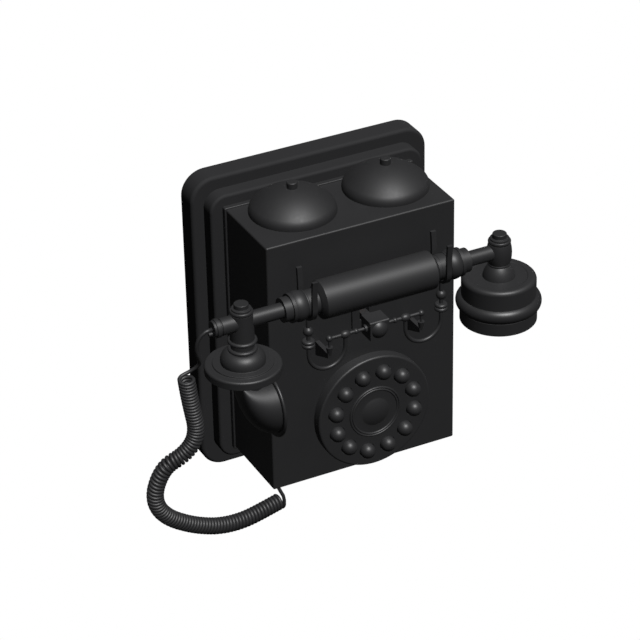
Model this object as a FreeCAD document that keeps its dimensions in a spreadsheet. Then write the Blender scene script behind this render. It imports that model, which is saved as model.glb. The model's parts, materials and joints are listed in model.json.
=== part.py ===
import FreeCAD, Part
import math
import operator
import os
from types import SimpleNamespace

import Sketcher
from FreeCAD import Placement, Rotation, Vector

# A wall telephone with a ring of push keys, two gongs on its roof and a bar handset in a fork cradle.
# Frame: +Z up, the front faces -Y, and the origin is the centre of the backboard's back face.

# Driving dimensions, in millimetres unless a name ends in count, turns or degrees.
SIZES = {
    # Backboard and mounting panel
    "board_width": 178.0,
    "board_height": 227.4,
    "board_thickness": 16.0,
    "board_corner": 17.0,
    "board_edge": 2.5,
    "panel_width": 160.0,
    "panel_height": 206.6,
    "panel_thickness": 11.0,
    "panel_corner": 12.0,
    "panel_edge": 2.0,
    "panel_rise": 1.2,
    "wall_hole_radius": 2.5,
    "wall_hole_spacing_x": 100.0,
    "wall_hole_spacing_z": 140.0,
    "cable_hole_radius": 5.0,
    "cable_hole_rise": 8.0,
    # Case
    "case_width": 140.0,
    "case_height": 188.6,
    "case_depth": 63.5,
    "case_wall": 3.0,
    "case_edge": 1.2,
    "flange_margin": 1.2,
    "flange_thickness": 3.6,
    "flange_edge": 0.6,
    "boss_side": 11.0,
    "boss_length": 22.0,
    # Screws and the room they are given
    "screw_radius": 1.8,
    "screw_head_radius": 3.6,
    "screw_head_height": 2.2,
    "screw_clearance": 0.2,
    "screw_recess": 0.6,
    "case_screw_grip": 12.0,
    "panel_screw_length": 20.0,
    "panel_screw_inset": 8.0,
    "panel_screw_spacing_z": 124.0,
    # Dial
    "dial_height": 51.5,
    "dial_radius": 42.3,
    "dial_reach": 16.0,
    "dial_skirt": 7.8,
    "dial_skirt_wall": 2.5,
    "dial_face": 2.4,
    "dial_edge": 1.5,
    "cup_radius": 36.0,
    "cup_wall": 7.0,
    "cup_flange": 1.2,
    "cup_opening": 14.0,
    "dial_fit": 0.3,
    "dial_screw_count": 3,
    "dial_screw_circle": 20.4,
    "dial_boss_radius": 2.9,
    "dial_screw_radius": 1.4,
    "key_count": 12,
    "key_circle": 30.3,
    "key_radius": 5.4,
    "key_proud": 0.8,
    "key_flange_radius": 6.3,
    "key_flange": 1.0,
    "key_travel": 1.6,
    "key_first_degrees": 18.0,
    "mat_sheet": 0.8,
    "mat_dome_radius": 3.6,
    "mat_room": 0.4,
    "keypad_board": 1.4,
    "cap_radius": 19.4,
    "cap_ring": 1.6,
    "cap_ring_rise": 0.75,
    "cap_floor": 0.5,
    "cap_dome_radius": 10.8,
    "cap_dome_rise": 2.2,
    "cap_stem_radius": 8.0,
    # Gongs and ringer
    "gong_radius": 29.6,
    "gong_spread": 34.7,
    "gong_setback": 1.9,
    "gong_lift": 3.8,
    "gong_lip": 1.0,
    "gong_shoulder": 7.8,
    "gong_rise": 17.4,
    "gong_wall": 1.6,
    "gong_hole_radius": 2.5,
    "post_radius": 3.4,
    "post_flange_radius": 6.0,
    "post_flange": 2.0,
    "post_stud_radius": 2.2,
    "post_tail": 5.0,
    "nut_radius": 3.7,
    "nut_height": 4.4,
    "nut_edge": 0.8,
    "ringer_drop": 28.0,
    "ringer_plate": 3.0,
    "ringer_width": 84.0,
    "ringer_gap": 0.3,
    "ringer_foot": 9.0,
    "coil_spacing": 34.0,
    "coil_radius": 10.0,
    "coil_flange_radius": 11.0,
    "coil_flange": 1.8,
    "coil_height": 25.0,
    "core_radius": 3.5,
    "core_fit": 0.3,
    "yoke_thickness": 4.0,
    "yoke_width": 58.0,
    "armature_length": 48.0,
    "armature_width": 12.0,
    "armature_thickness": 3.0,
    "armature_gap": 2.2,
    "pivot_radius": 1.5,
    "pivot_fit": 0.05,
    "hub_radius": 3.0,
    "hammer_radius": 3.0,
    "hammer_inset": 18.9,
    "hammer_lift": 4.0,
    "clapper_rod_radius": 1.0,
    "clapper_bar": 2.4,
    "clapper_bar_width": 4.0,
    "clapper_slot_length": 7.0,
    "clapper_slot_width": 4.0,
    # Cradle and hook switch
    "cradle_reach": 17.8,
    "rod_drop": 31.5,
    "rod_radius": 1.25,
    "rod_spigot": 3.0,
    "rod_collar_radius": 2.8,
    "rod_collar": 1.6,
    "rod_bead_radius": 1.9,
    "rod_bead_station": 14.6,
    "rod_ball_radius": 2.3,
    "rod_ball_station": 34.5,
    "guide_pin_radius": 0.8,
    "guide_pin_length": 11.4,
    "guide_fit": 0.08,
    "guide_room": 0.7,
    "block_width": 14.2,
    "block_depth": 13.0,
    "block_height": 13.8,
    "block_edge": 1.3,
    "boss_radius": 6.0,
    "boss_rise": 3.2,
    "tongue_width": 6.0,
    "tongue_height": 5.0,
    "tongue_reach": 12.0,
    "tongue_fit": 0.4,
    "hook_travel": 4.0,
    "plate_width": 18.0,
    "plate_height": 30.0,
    "plate_drop": 9.0,
    "plate_thickness": 2.0,
    "arm_inner": 22.6,
    "arm_outer": 49.8,
    "arm_drop": 8.4,
    "arm_wire_radius": 1.4,
    "arm_eye_radius": 2.8,
    "arm_eye_length": 3.9,
    "arm_eye_fit": 0.02,
    "column_disc_radius": 4.5,
    "column_disc": 2.8,
    "column_disc_round": 1.1,
    "column_disc_height": 0.8,
    "column_ball_radius": 3.5,
    "column_ball_height": 10.0,
    "fork_radius": 9.3,
    "fork_thickness": 2.2,
    "fork_width": 3.7,
    "fork_flare": 1.0,
    "fork_flare_start": 11.0,
    "fork_height": 21.5,
    "bracket_thickness": 3.2,
    "bracket_root_drop": 22.0,
    "bracket_root_height": 11.0,
    "bracket_tip_drop": 14.4,
    "bracket_tip_height": 3.2,
    "bracket_tip_reach": 1.0,
    "cone_radius": 2.4,
    "cone_top_drop": 6.4,
    "cone_tip_radius": 1.3,
    "lever_arm": 25.0,
    "lever_tail": 13.0,
    "lever_height": 4.0,
    "lever_width": 5.0,
    "lever_gap": 0.3,
    "lever_nose": 5.0,
    "lever_pin_radius": 2.0,
    "lever_spacer_radius": 3.0,
    "lever_hub_radius": 3.5,
    "switch_width": 14.0,
    "switch_height": 16.0,
    "switch_thickness": 3.0,
    "spring_leaf": 0.6,
    "spring_ledge": 1.8,
    "spring_length": 20.0,
    # Handset
    "handset_height": 151.5,
    "tube_radius": 5.3,
    "tube_bore": 3.8,
    "tube_fit": 0.1,
    "mouth_stem_margin": 27.4,
    "ear_stem_margin": 24.3,
    "tube_seat": 5.0,
    "grip_radius": 13.3,
    "grip_length": 82.0,
    "grip_cone": 3.0,
    "grip_end_radius": 8.3,
    "collar_end_radius": 8.8,
    "collar_end": 2.2,
    "neck_radius": 9.0,
    "neck_length": 5.4,
    "collar_bead_radius": 9.7,
    "collar_bead": 1.6,
    "collar_swell_radius": 10.6,
    "collar_swell_foot": 9.5,
    "collar_swell": 8.2,
    "collar_rim_radius": 10.0,
    "collar_rim": 2.2,
    "collar_sleeve_radius": 8.4,
    "collar_sleeve": 5.4,
    "stem_radius": 8.2,
    "stem_top_radius": 7.6,
    "stem_ring_radius": 8.6,
    "stem_ring": 2.6,
    "stem_top": 6.4,
    "stem_cap_step_radius": 6.7,
    "stem_cap_step": 1.4,
    "stem_cap_radius": 4.9,
    "stem_cap_height": 3.2,
    "stem_cap_spigot": 3.0,
    "stem_cap_edge": 0.5,
    "mouth_stem_drop": 21.4,
    "mouth_ring_radius": 9.9,
    "mouth_ring": 2.6,
    "mouth_groove_radius": 8.9,
    "mouth_ring_step": 3.6,
    "mouth_dome_radius": 14.8,
    "mouth_dome": 8.8,
    "mouth_dome_bulge": 2.0,
    "mouth_step_radius": 20.2,
    "mouth_step": 1.0,
    "mouth_flange_radius": 25.8,
    "mouth_flange": 5.8,
    "mouth_flange_edge": 1.6,
    "mouth_cavity_radius": 11.6,
    "mouth_cavity": 10.0,
    "capsule_clearance": 0.3,
    "mouth_capsule": 9.0,
    "horn_radius": 19.7,
    "horn_back_radius": 5.0,
    "horn_back_shift": 4.0,
    "horn_back_drop": 11.0,
    "horn_lip_radius": 22.5,
    "horn_lip_thickness": 2.4,
    "horn_lip_bulge": 1.0,
    "horn_reach": 20.4,
    "horn_drop": 32.4,
    "horn_wall": 2.0,
    "horn_neck_radius": 8.0,
    "horn_neck_shift": 5.0,
    "horn_neck": 20.0,
    "horn_collar_radius": 16.0,
    "horn_collar": 2.4,
    "inlet_radius": 5.9,
    "inlet_seat": 3.0,
    "inlet_length": 15.4,
    "inlet_groove": 1.0,
    "inlet_groove_radius": 5.2,
    "inlet_ring_radius": 6.4,
    "inlet_ring": 3.0,
    "inlet_end": 1.7,
    "inlet_end_radius": 5.6,
    "inlet_lug_radius": 1.3,
    "inlet_lug": 2.6,
    "inlet_lug_drop": 3.4,
    "ear_barrel_radius": 8.6,
    "ear_stem_drop": 8.4,
    "ear_ring_radius": 8.4,
    "ear_ring": 1.6,
    "ear_foot_radius": 11.2,
    "ear_foot_waist": 6.9,
    "ear_foot": 8.9,
    "ear_foot_bulge": 0.8,
    "ear_cup_radius": 25.6,
    "ear_cup": 14.2,
    "ear_cup_edge": 3.0,
    "ear_cup_wall": 2.6,
    "ear_cup_step_radius": 19.8,
    "ear_cup_step": 0.5,
    "ear_spigot_radius": 23.4,
    "ear_spigot_wall": 2.4,
    "ear_spigot": 15.0,
    "ear_ring_fit": 0.3,
    "ear_band_radius": 29.3,
    "ear_band": 9.8,
    "ear_cap_radius": 26.4,
    "ear_cap": 9.2,
    "ear_cap_face": 3.0,
    "ear_dish": 0.6,
    "ear_hole_count": 6,
    "ear_hole_radius": 1.6,
    "ear_hole_circle": 8.0,
    "ear_capsule_radius": 19.0,
    "ear_capsule": 16.0,
    # Handset cord
    "cord_wire": 1.5,
    "cord_coil_diameter": 11.0,
    "cord_coil_turns": 86.5,
    "cord_lead": 4.8,
    "coil_lead": 6.5,
    "grommet_lip_radius": 4.2,
    "grommet_lip": 1.6,
    "grommet_neck_radius": 3.0,
    "grommet_fit": 0.1,
    "grommet_inset": 7.7,
    "grommet_setback": 10.5,
    # Circuit board
    "circuit_width": 84.0,
    "circuit_height": 60.0,
    "circuit_board": 1.6,
    "circuit_rise": 46.0,
    "standoff_radius": 3.5,
    "standoff": 6.0,
    "standoff_inset": 6.0,
    "standoff_pin_radius": 1.3,
    "standoff_pin": 3.0,
}

SIGNS = {"+": operator.add, "-": operator.sub, "*": operator.mul, "/": operator.truediv}


class Size:
    """A length that is both a number and the sheet expression that gives it."""

    def __init__(self, value, text):
        self.value = value
        self.text = text

    def __add__(self, other):
        return combine(self, "+", other)

    def __radd__(self, other):
        return combine(other, "+", self)

    def __sub__(self, other):
        return combine(self, "-", other)

    def __rsub__(self, other):
        return combine(other, "-", self)

    def __mul__(self, other):
        return combine(self, "*", other)

    def __rmul__(self, other):
        return combine(other, "*", self)

    def __truediv__(self, other):
        return combine(self, "/", other)

    def __neg__(self):
        return combine(0, "-", self)


def as_size(number):
    """Give a plain number the same form as a size of the sheet."""
    if isinstance(number, Size):
        return number
    return Size(float(number), f"({number})")


def combine(first, sign, second):
    """Work out two sizes, both as numbers and as an expression."""
    first, second = as_size(first), as_size(second)
    value = SIGNS[sign](first.value, second.value)
    return Size(value, f"({first.text} {sign} {second.text})")


def root(size):
    """The square root of a size."""
    return Size(math.sqrt(size.value), f"sqrt({size.text})")


class Arc:
    """An outline's arc, of a radius, that leads to the corner that carries it."""

    def __init__(self, radius, hollow=False):
        self.radius = as_size(radius)
        self.hollow = hollow


UP = Rotation()
DOWN = Rotation(Vector(1, 0, 0), 180)
RIGHT = Rotation(Vector(0, 1, 0), 90)
LEFT = Rotation(Vector(0, 1, 0), -90)
FORWARD = Rotation(Vector(1, 0, 0), 90)
BACKWARD = Rotation(Vector(1, 0, 0), -90)

doc = FreeCAD.newDocument("wall_telephone")
sheet = doc.addObject("Spreadsheet::Sheet", "Sizes")
for row, (alias, number) in enumerate(SIZES.items(), start=1):
    sheet.set(f"A{row}", alias)
    sheet.set(f"B{row}", str(number))
    sheet.setAlias(f"B{row}", alias)
doc.recompute()
size = SimpleNamespace(**{name: Size(number, f"Sizes.{name}") for name, number in SIZES.items()})
nodes = {}


def node(piece):
    """List a finished piece as a node of the assembly."""
    nodes[piece.Label] = piece
    return piece


def bind(feature, path, number):
    """Tie one property of a feature to the sheet."""
    feature.setExpression(path, as_size(number).text)


def place(piece, at, turn=UP):
    """Turn a piece and tie its place to the sheet."""
    piece.Placement = Placement(Vector(), turn)
    for axis, offset in zip("xyz", at):
        bind(piece, f"Placement.Base.{axis}", offset)
    return piece


def block(name, low, high):
    """A box between two corners."""
    box = doc.addObject("Part::Box", name)
    for side, first, last in zip(("Length", "Width", "Height"), low, high):
        bind(box, side, last - as_size(first))
    return place(box, low)


def peg(name, radius, length, at, turn=UP):
    """A cylinder from a point along a direction."""
    cylinder = doc.addObject("Part::Cylinder", name)
    bind(cylinder, "Radius", radius)
    bind(cylinder, "Height", length)
    return place(cylinder, at, turn)


def cone(name, foot, tip, length, at, turn=UP):
    """A cone frustum from a point along a direction."""
    frustum = doc.addObject("Part::Cone", name)
    bind(frustum, "Radius1", foot)
    bind(frustum, "Radius2", tip)
    bind(frustum, "Height", length)
    return place(frustum, at, turn)


def joined(name, *pieces):
    """Pieces that are made as one solid."""
    fusion = doc.addObject("Part::MultiFuse", name)
    fusion.Shapes = list(pieces)
    fusion.Refine = True
    return fusion


def cut(name, base, *tools):
    """A piece with the room of other shapes taken out of it."""
    result = doc.addObject("Part::Cut", name)
    result.Base = base
    result.Tool = tools[0] if len(tools) == 1 else joined(f"{name}_room", *tools)
    return result


def group(name, pieces):
    """Like pieces that share one node as separate solids."""
    compound = doc.addObject("Part::Compound", name)
    compound.Links = list(pieces)
    return compound


def arc_between(start, end, arc):
    """The circular arc that bends away from an outline's inside, or into it where it is hollow."""
    chord = end - start
    half = chord.Length / 2
    side = Vector(-chord.y, chord.x, 0).normalize()
    offset = math.sqrt(max(arc.radius.value**2 - half**2, 0.0))
    centre = (start + end) * 0.5 + side * (-offset if arc.hollow else offset)
    first, last = (end, start) if arc.hollow else (start, end)
    angles = [math.atan2(point.y - centre.y, point.x - centre.x) for point in (first, last)]
    return Part.ArcOfCircle(Part.Circle(centre, Vector(0, 0, 1), arc.radius.value), *angles)


def pin_down(sketch, edge, corner):
    """Tie one corner of a sketch to the sheet."""
    for kind, axis, offset in (("DistanceX", -2, corner[0]), ("DistanceY", -1, corner[1])):
        offset = as_size(offset)
        if offset.text == "(0)":
            sketch.addConstraint(Sketcher.Constraint("PointOnObject", *edge, axis))
            continue
        index = sketch.addConstraint(Sketcher.Constraint(kind, -1, 1, *edge, offset.value))
        sketch.setExpression(f"Constraints[{index}]", offset.text)


def drawn(body, plane, outline):
    """A closed sketch on one of a body's own planes.

    The outline lists its corners counter-clockwise as (across, up), and a corner that an arc leads
    to carries the Arc as a third item.
    """
    sketch = body.newObject("Sketcher::SketchObject", f"{body.Label}_outline")
    support = next(item for item in body.Origin.OriginFeatures if item.Role == plane)
    sketch.AttachmentSupport = [(support, "")]
    sketch.MapMode = "FlatFace"
    points = [Vector(as_size(corner[0]).value, as_size(corner[1]).value, 0) for corner in outline]
    ends = []
    for number, corner in enumerate(outline):
        start, end = points[number - 1], points[number]
        arc = corner[2] if len(corner) > 2 else None
        curve = arc_between(start, end, arc) if arc else Part.LineSegment(start, end)
        edge = sketch.addGeometry(curve)
        ends.append(((edge, 2), (edge, 1)) if arc and arc.hollow else ((edge, 1), (edge, 2)))
        if arc:
            index = sketch.addConstraint(Sketcher.Constraint("Radius", edge, arc.radius.value))
            sketch.setExpression(f"Constraints[{index}]", arc.radius.text)
    for number, corner in enumerate(outline):
        following = ends[(number + 1) % len(ends)]
        sketch.addConstraint(Sketcher.Constraint("Coincident", *ends[number][1], *following[0]))
        pin_down(sketch, ends[number][1], corner)
    return sketch


def turned(name, outline, at=(0, 0, 0), turn=UP):
    """A lathe-turned piece: the outline gives (radius, height) from its foot upwards."""
    body = doc.addObject("PartDesign::Body", name)
    sketch = drawn(body, "XZ_Plane", outline)
    revolution = body.newObject("PartDesign::Revolution", f"{name}_turn")
    revolution.Profile = sketch
    revolution.ReferenceAxis = (sketch, ["V_Axis"])
    revolution.Angle = 360
    return place(body, at, turn)


def padded(name, plane, outline, thickness, at=(0, 0, 0), turn=UP, centred=False):
    """A piece of one thickness with an outline on one of its planes."""
    body = doc.addObject("PartDesign::Body", name)
    sketch = drawn(body, plane, outline)
    pad = body.newObject("PartDesign::Pad", f"{name}_pad")
    pad.Profile = sketch
    pad.Midplane = centred
    bind(pad, "Length", thickness)
    return place(body, at, turn)


def rectangle(width, height):
    """A rectangle about the origin."""
    across, up = width / 2, height / 2
    return [(-across, -up), (across, -up), (across, up), (-across, up)]


def round_edges(body, name, radius, picks):
    """Round the edges of a body that a test picks."""
    doc.recompute()
    base = body.Tip
    names = [f"Edge{n}" for n, edge in enumerate(base.Shape.Edges, start=1) if picks(edge)]
    fillet = body.newObject("PartDesign::Fillet", f"{body.Label}_{name}")
    fillet.Base = (base, names)
    bind(fillet, "Radius", radius)


def slab(name, width, height, thickness, corner, edge_radius, at):
    """A board with rounded corners whose front outline is softened."""
    body = padded(name, "XZ_Plane", rectangle(width, height), thickness, at)
    front_plane = -thickness.value

    def runs_through(edge):
        return edge.BoundBox.YLength > thickness.value / 2

    def on_front(edge):
        return edge.BoundBox.YMax < front_plane + TOLERANCE

    round_edges(body, "corners", corner, runs_through)
    round_edges(body, "front", edge_radius, on_front)
    return body


def crown_radius(radius, rise):
    """The radius of a shallow dome from its rim's radius and its height."""
    return (radius * radius + rise * rise) / (rise * 2)


def diagonal(across, up):
    """The straight distance between two points from their distances across and up."""
    return root(across * across + up * up)


def screw(name, at, turn, length, shank=size.screw_radius):
    """A cheese-head screw whose head stands at a point and whose shank runs along a direction."""
    head = size.screw_head_height
    return turned(name, [
        (0, 0),
        (size.screw_head_radius, 0),
        (size.screw_head_radius, head),
        (shank, head),
        (shank, head + length),
        (0, head + length),
    ], at, turn)


# Planes and stations that the pieces share
front = -(size.board_thickness + size.panel_thickness + size.case_depth)
case_back = -(size.board_thickness + size.panel_thickness)
case_top = size.panel_rise + size.case_height / 2
case_bottom = size.panel_rise - size.case_height / 2
cradle_y = front - size.cradle_reach
handset_z = case_bottom + size.handset_height
rod_z = handset_z - size.rod_drop
dial_z = case_bottom + size.dial_height
gong_y = case_back - size.gong_setback - size.gong_radius
case_left = -size.case_width / 2
TOLERANCE = 1e-4
SIDES = {"left": -1, "right": 1}
CORNERS = [(x, z) for x in (-1, 1) for z in (-1, 1)]


def make_wall_parts(ringer_rooms):
    """Backboard, mounting panel, circuit board, and the screws that hold panel and case."""
    case_x = size.case_width / 2 - size.case_wall - size.boss_side / 2
    case_z = size.case_height / 2 - size.case_wall - size.boss_side / 2
    panel_x = size.panel_width / 2 - size.panel_screw_inset
    case_length = size.panel_thickness - size.screw_recess - size.screw_head_height + size.case_screw_grip
    board_rooms, panel_rooms, case_rooms = [], list(ringer_rooms), []
    panel_screws, case_screws = [], []
    for number, (x, z) in enumerate(CORNERS, start=1):
        at = (panel_x * x, -size.screw_recess, size.panel_rise + size.panel_screw_spacing_z / 2 * z)
        panel_screws.append(screw(f"panel_screw_{number}", at, FORWARD, size.panel_screw_length))
        room_at = (at[0], 0, at[2])
        reach = size.panel_screw_length + size.screw_recess
        shaft = peg(f"panel_shaft_{number}", size.screw_radius + size.screw_clearance,
                    reach + size.screw_head_height + size.screw_clearance, room_at, FORWARD)
        sink = peg(f"panel_sink_{number}", size.screw_head_radius + size.screw_clearance,
                   size.screw_recess + size.screw_head_height, room_at, FORWARD)
        board_rooms += [shaft, sink]
        panel_rooms.append(shaft)
        back = -size.board_thickness
        at = (case_x * x, back - size.screw_recess, size.panel_rise + case_z * z)
        case_screws.append(screw(f"case_screw_{number}", at, FORWARD, case_length))
        room_at = (at[0], back, at[2])
        shaft = peg(f"case_shaft_{number}", size.screw_radius + size.screw_clearance,
                    size.panel_thickness + size.case_screw_grip + size.screw_clearance, room_at, FORWARD)
        sink = peg(f"case_sink_{number}", size.screw_head_radius + size.screw_clearance,
                   size.screw_recess + size.screw_head_height, room_at, FORWARD)
        panel_rooms += [shaft, sink]
        case_rooms.append(shaft)
    thickness = size.board_thickness + size.panel_thickness
    wall_holes = [
        peg(f"wall_hole_{n}", size.wall_hole_radius, thickness,
            (size.wall_hole_spacing_x / 2 * x, 0, size.wall_hole_spacing_z / 2 * z), FORWARD)
        for n, (x, z) in enumerate(CORNERS, start=1)
    ]
    cable_hole = peg("cable_hole", size.cable_hole_radius, thickness, (0, 0, size.cable_hole_rise), FORWARD)
    board = slab("backboard_blank", size.board_width, size.board_height, size.board_thickness,
                 size.board_corner, size.board_edge, (0, 0, 0))
    node(cut("backboard", board, cable_hole, *wall_holes, *board_rooms))
    panel = slab("panel_blank", size.panel_width, size.panel_height, size.panel_thickness,
                 size.panel_corner, size.panel_edge, (0, -size.board_thickness, size.panel_rise))
    standoffs, pin_rooms = [], []
    circuit_z = case_bottom + size.circuit_rise
    circuit_back = case_back - size.standoff
    for number, (x, z) in enumerate(CORNERS, start=1):
        along = (size.circuit_width / 2 - size.standoff_inset) * x
        up = circuit_z + (size.circuit_height / 2 - size.standoff_inset) * z
        standoffs.append(peg(f"standoff_{number}", size.standoff_radius, size.standoff,
                             (along, case_back, up), FORWARD))
        standoffs.append(peg(f"standoff_pin_{number}", size.standoff_pin_radius,
                             size.standoff + size.standoff_pin, (along, case_back, up), FORWARD))
        pin_rooms.append(peg(f"pin_room_{number}", size.standoff_pin_radius + size.screw_clearance,
                             size.circuit_board, (along, circuit_back, up), FORWARD))
    panel_solid = joined("panel_solid", panel, *standoffs)
    node(cut("mounting_panel", panel_solid, cable_hole, *wall_holes, *panel_rooms))
    circuit = block("circuit_blank",
                    (-size.circuit_width / 2, circuit_back - size.circuit_board,
                     circuit_z - size.circuit_height / 2),
                    (size.circuit_width / 2, circuit_back, circuit_z + size.circuit_height / 2))
    node(cut("circuit_board", circuit, *pin_rooms))
    node(group("panel_screws", panel_screws))
    node(group("case_screws", case_screws))
    return case_rooms


def make_case(screw_rooms, openings):
    """The case shell: a deep box with a foot flange, corner bosses and its openings."""
    shell = slab("case_blank", size.case_width, size.case_height, size.case_depth,
                 size.case_edge, size.case_edge, (0, case_back, size.panel_rise))
    flange = slab("case_flange", size.case_width + size.flange_margin * 2,
                  size.case_height + size.flange_margin * 2, size.flange_thickness,
                  size.flange_margin, size.flange_edge, (0, case_back, size.panel_rise))
    inner_x = size.case_width / 2 - size.case_wall
    inner_low, inner_high = case_bottom + size.case_wall, case_top - size.case_wall
    cavity = block("case_cavity",
                   (-inner_x, front + size.case_wall, inner_low),
                   (inner_x, case_back, inner_high))
    bosses = []
    for number, (x, z) in enumerate(CORNERS, start=1):
        low_x = -inner_x if x < 0 else inner_x - size.boss_side
        low_z = inner_low if z < 0 else inner_high - size.boss_side
        low = (low_x, case_back - size.boss_length, low_z)
        high = (low_x + size.boss_side, case_back, low_z + size.boss_side)
        bosses.append(block(f"case_boss_{number}", low, high))
    hollow = cut("case_hollow", joined("case_outside", shell, flange), cavity)
    node(cut("case_shell", joined("case_solid", hollow, *bosses), *screw_rooms, *openings))


def dial_place(reach, radius=0, degrees=0):
    """A point of the dial: how far it stands off the case front, on a circle about the centre."""
    angle = math.radians(degrees)
    return (radius * math.cos(angle), front - reach, dial_z + radius * math.sin(angle))


def make_dial():
    """Dial cup, face, centre cap, push keys, rubber mat, keypad board and the dial screws."""
    face_back = size.dial_reach - size.dial_face
    key_back = face_back - size.key_flange
    mat_front = key_back - size.key_travel - size.mat_room
    mat_back = mat_front - size.mat_sheet
    board_back = mat_back - size.keypad_board
    cup_back = board_back - size.cup_flange
    inner = size.dial_radius - size.dial_skirt_wall
    stack_radius = inner - size.dial_fit
    steps = range(SIZES["key_count"])
    key_angles = [SIZES["key_first_degrees"] + 360 / len(steps) * n for n in steps]
    screw_steps = range(SIZES["dial_screw_count"])
    screw_angles = [90 + 360 / len(screw_steps) * n for n in screw_steps]

    shank = size.dial_screw_radius
    screw_length = size.case_wall + face_back
    rooms, screws, bosses = [], [], []
    for number, degrees in enumerate(screw_angles, start=1):
        foot = -size.case_wall
        at = dial_place(foot - size.screw_head_height, size.dial_screw_circle, degrees)
        screws.append(screw(f"dial_screw_{number}", at, FORWARD, screw_length, shank))
        at = dial_place(foot, size.dial_screw_circle, degrees)
        rooms.append(peg(f"dial_screw_room_{number}", shank + size.screw_clearance,
                         screw_length + size.screw_clearance, at, FORWARD))
        at = dial_place(mat_front, size.dial_screw_circle, degrees)
        bosses.append(peg(f"dial_boss_{number}", size.dial_boss_radius,
                          size.dial_reach - mat_front, at, FORWARD))
    node(group("dial_screws", screws))

    cup = turned("dial_cup_turned", [
        (size.cup_radius - size.cup_wall, 0),
        (size.cup_radius, 0),
        (size.cup_radius, cup_back),
        (stack_radius, cup_back),
        (stack_radius, board_back),
        (size.cup_opening, board_back),
        (size.cup_opening, cup_back),
        (size.cup_radius - size.cup_wall, cup_back),
    ], dial_place(0), FORWARD)
    node(cut("dial_cup", cup, *rooms))
    board = peg("keypad_blank", stack_radius, size.keypad_board, dial_place(board_back), FORWARD)
    node(cut("keypad_board", board, *rooms))

    sheet_blank = peg("mat_sheet", stack_radius, size.mat_sheet, dial_place(mat_back), FORWARD)
    domes = [
        cone(f"mat_dome_{n}", size.mat_dome_radius, size.mat_dome_radius - size.mat_sheet,
             key_back - mat_front, dial_place(mat_front, size.key_circle, degrees), FORWARD)
        for n, degrees in enumerate(key_angles, start=1)
    ]
    node(cut("key_mat", joined("mat_solid", sheet_blank, *domes), *rooms))

    hole_radius = size.key_radius + size.dial_fit
    holes = [
        peg(f"key_hole_{n}", hole_radius, size.dial_face,
            dial_place(face_back, size.key_circle, degrees), FORWARD)
        for n, degrees in enumerate(key_angles, start=1)
    ]
    skirt_back = size.dial_reach - size.dial_skirt
    stem_hole = size.cap_stem_radius + size.screw_clearance
    face = turned("dial_face_turned", [
        (inner, skirt_back),
        (size.dial_radius, skirt_back),
        (size.dial_radius, size.dial_reach - size.dial_edge),
        (size.dial_radius - size.dial_edge, size.dial_reach, Arc(size.dial_edge)),
        (stem_hole, size.dial_reach),
        (stem_hole, face_back),
        (inner, face_back),
    ], dial_place(0), FORWARD)
    node(cut("dial_face", joined("dial_face_solid", face, *bosses), *holes, *rooms))

    crown = crown_radius(size.cap_dome_radius, size.cap_dome_rise)
    floor = size.dial_face + size.cap_floor
    bead = crown_radius(size.cap_ring / 2, size.cap_ring_rise)
    node(turned("centre_cap", [
        (0, 0),
        (size.cap_stem_radius, 0),
        (size.cap_stem_radius, size.dial_face),
        (size.cap_radius, size.dial_face),
        (size.cap_radius, floor),
        (size.cap_radius - size.cap_ring, floor, Arc(bead)),
        (size.cap_radius - size.cap_ring * 2, floor, Arc(bead)),
        (size.cap_dome_radius, floor),
        (0, floor + size.cap_dome_rise, Arc(crown)),
    ], dial_place(face_back), FORWARD))

    dome_foot = size.dial_reach + size.key_proud - key_back
    for number, degrees in enumerate(key_angles, start=1):
        node(turned(f"key_{number:02d}", [
            (0, 0),
            (size.key_flange_radius, 0),
            (size.key_flange_radius, size.key_flange),
            (size.key_radius, size.key_flange),
            (size.key_radius, dome_foot),
            (0, dome_foot + size.key_radius, Arc(size.key_radius)),
        ], dial_place(key_back, size.key_circle, degrees), FORWARD))
    wire_hole = peg("dial_wire_hole", size.cup_opening, size.case_wall, dial_place(-size.case_wall), FORWARD)
    return [*rooms, wire_hole]


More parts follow.
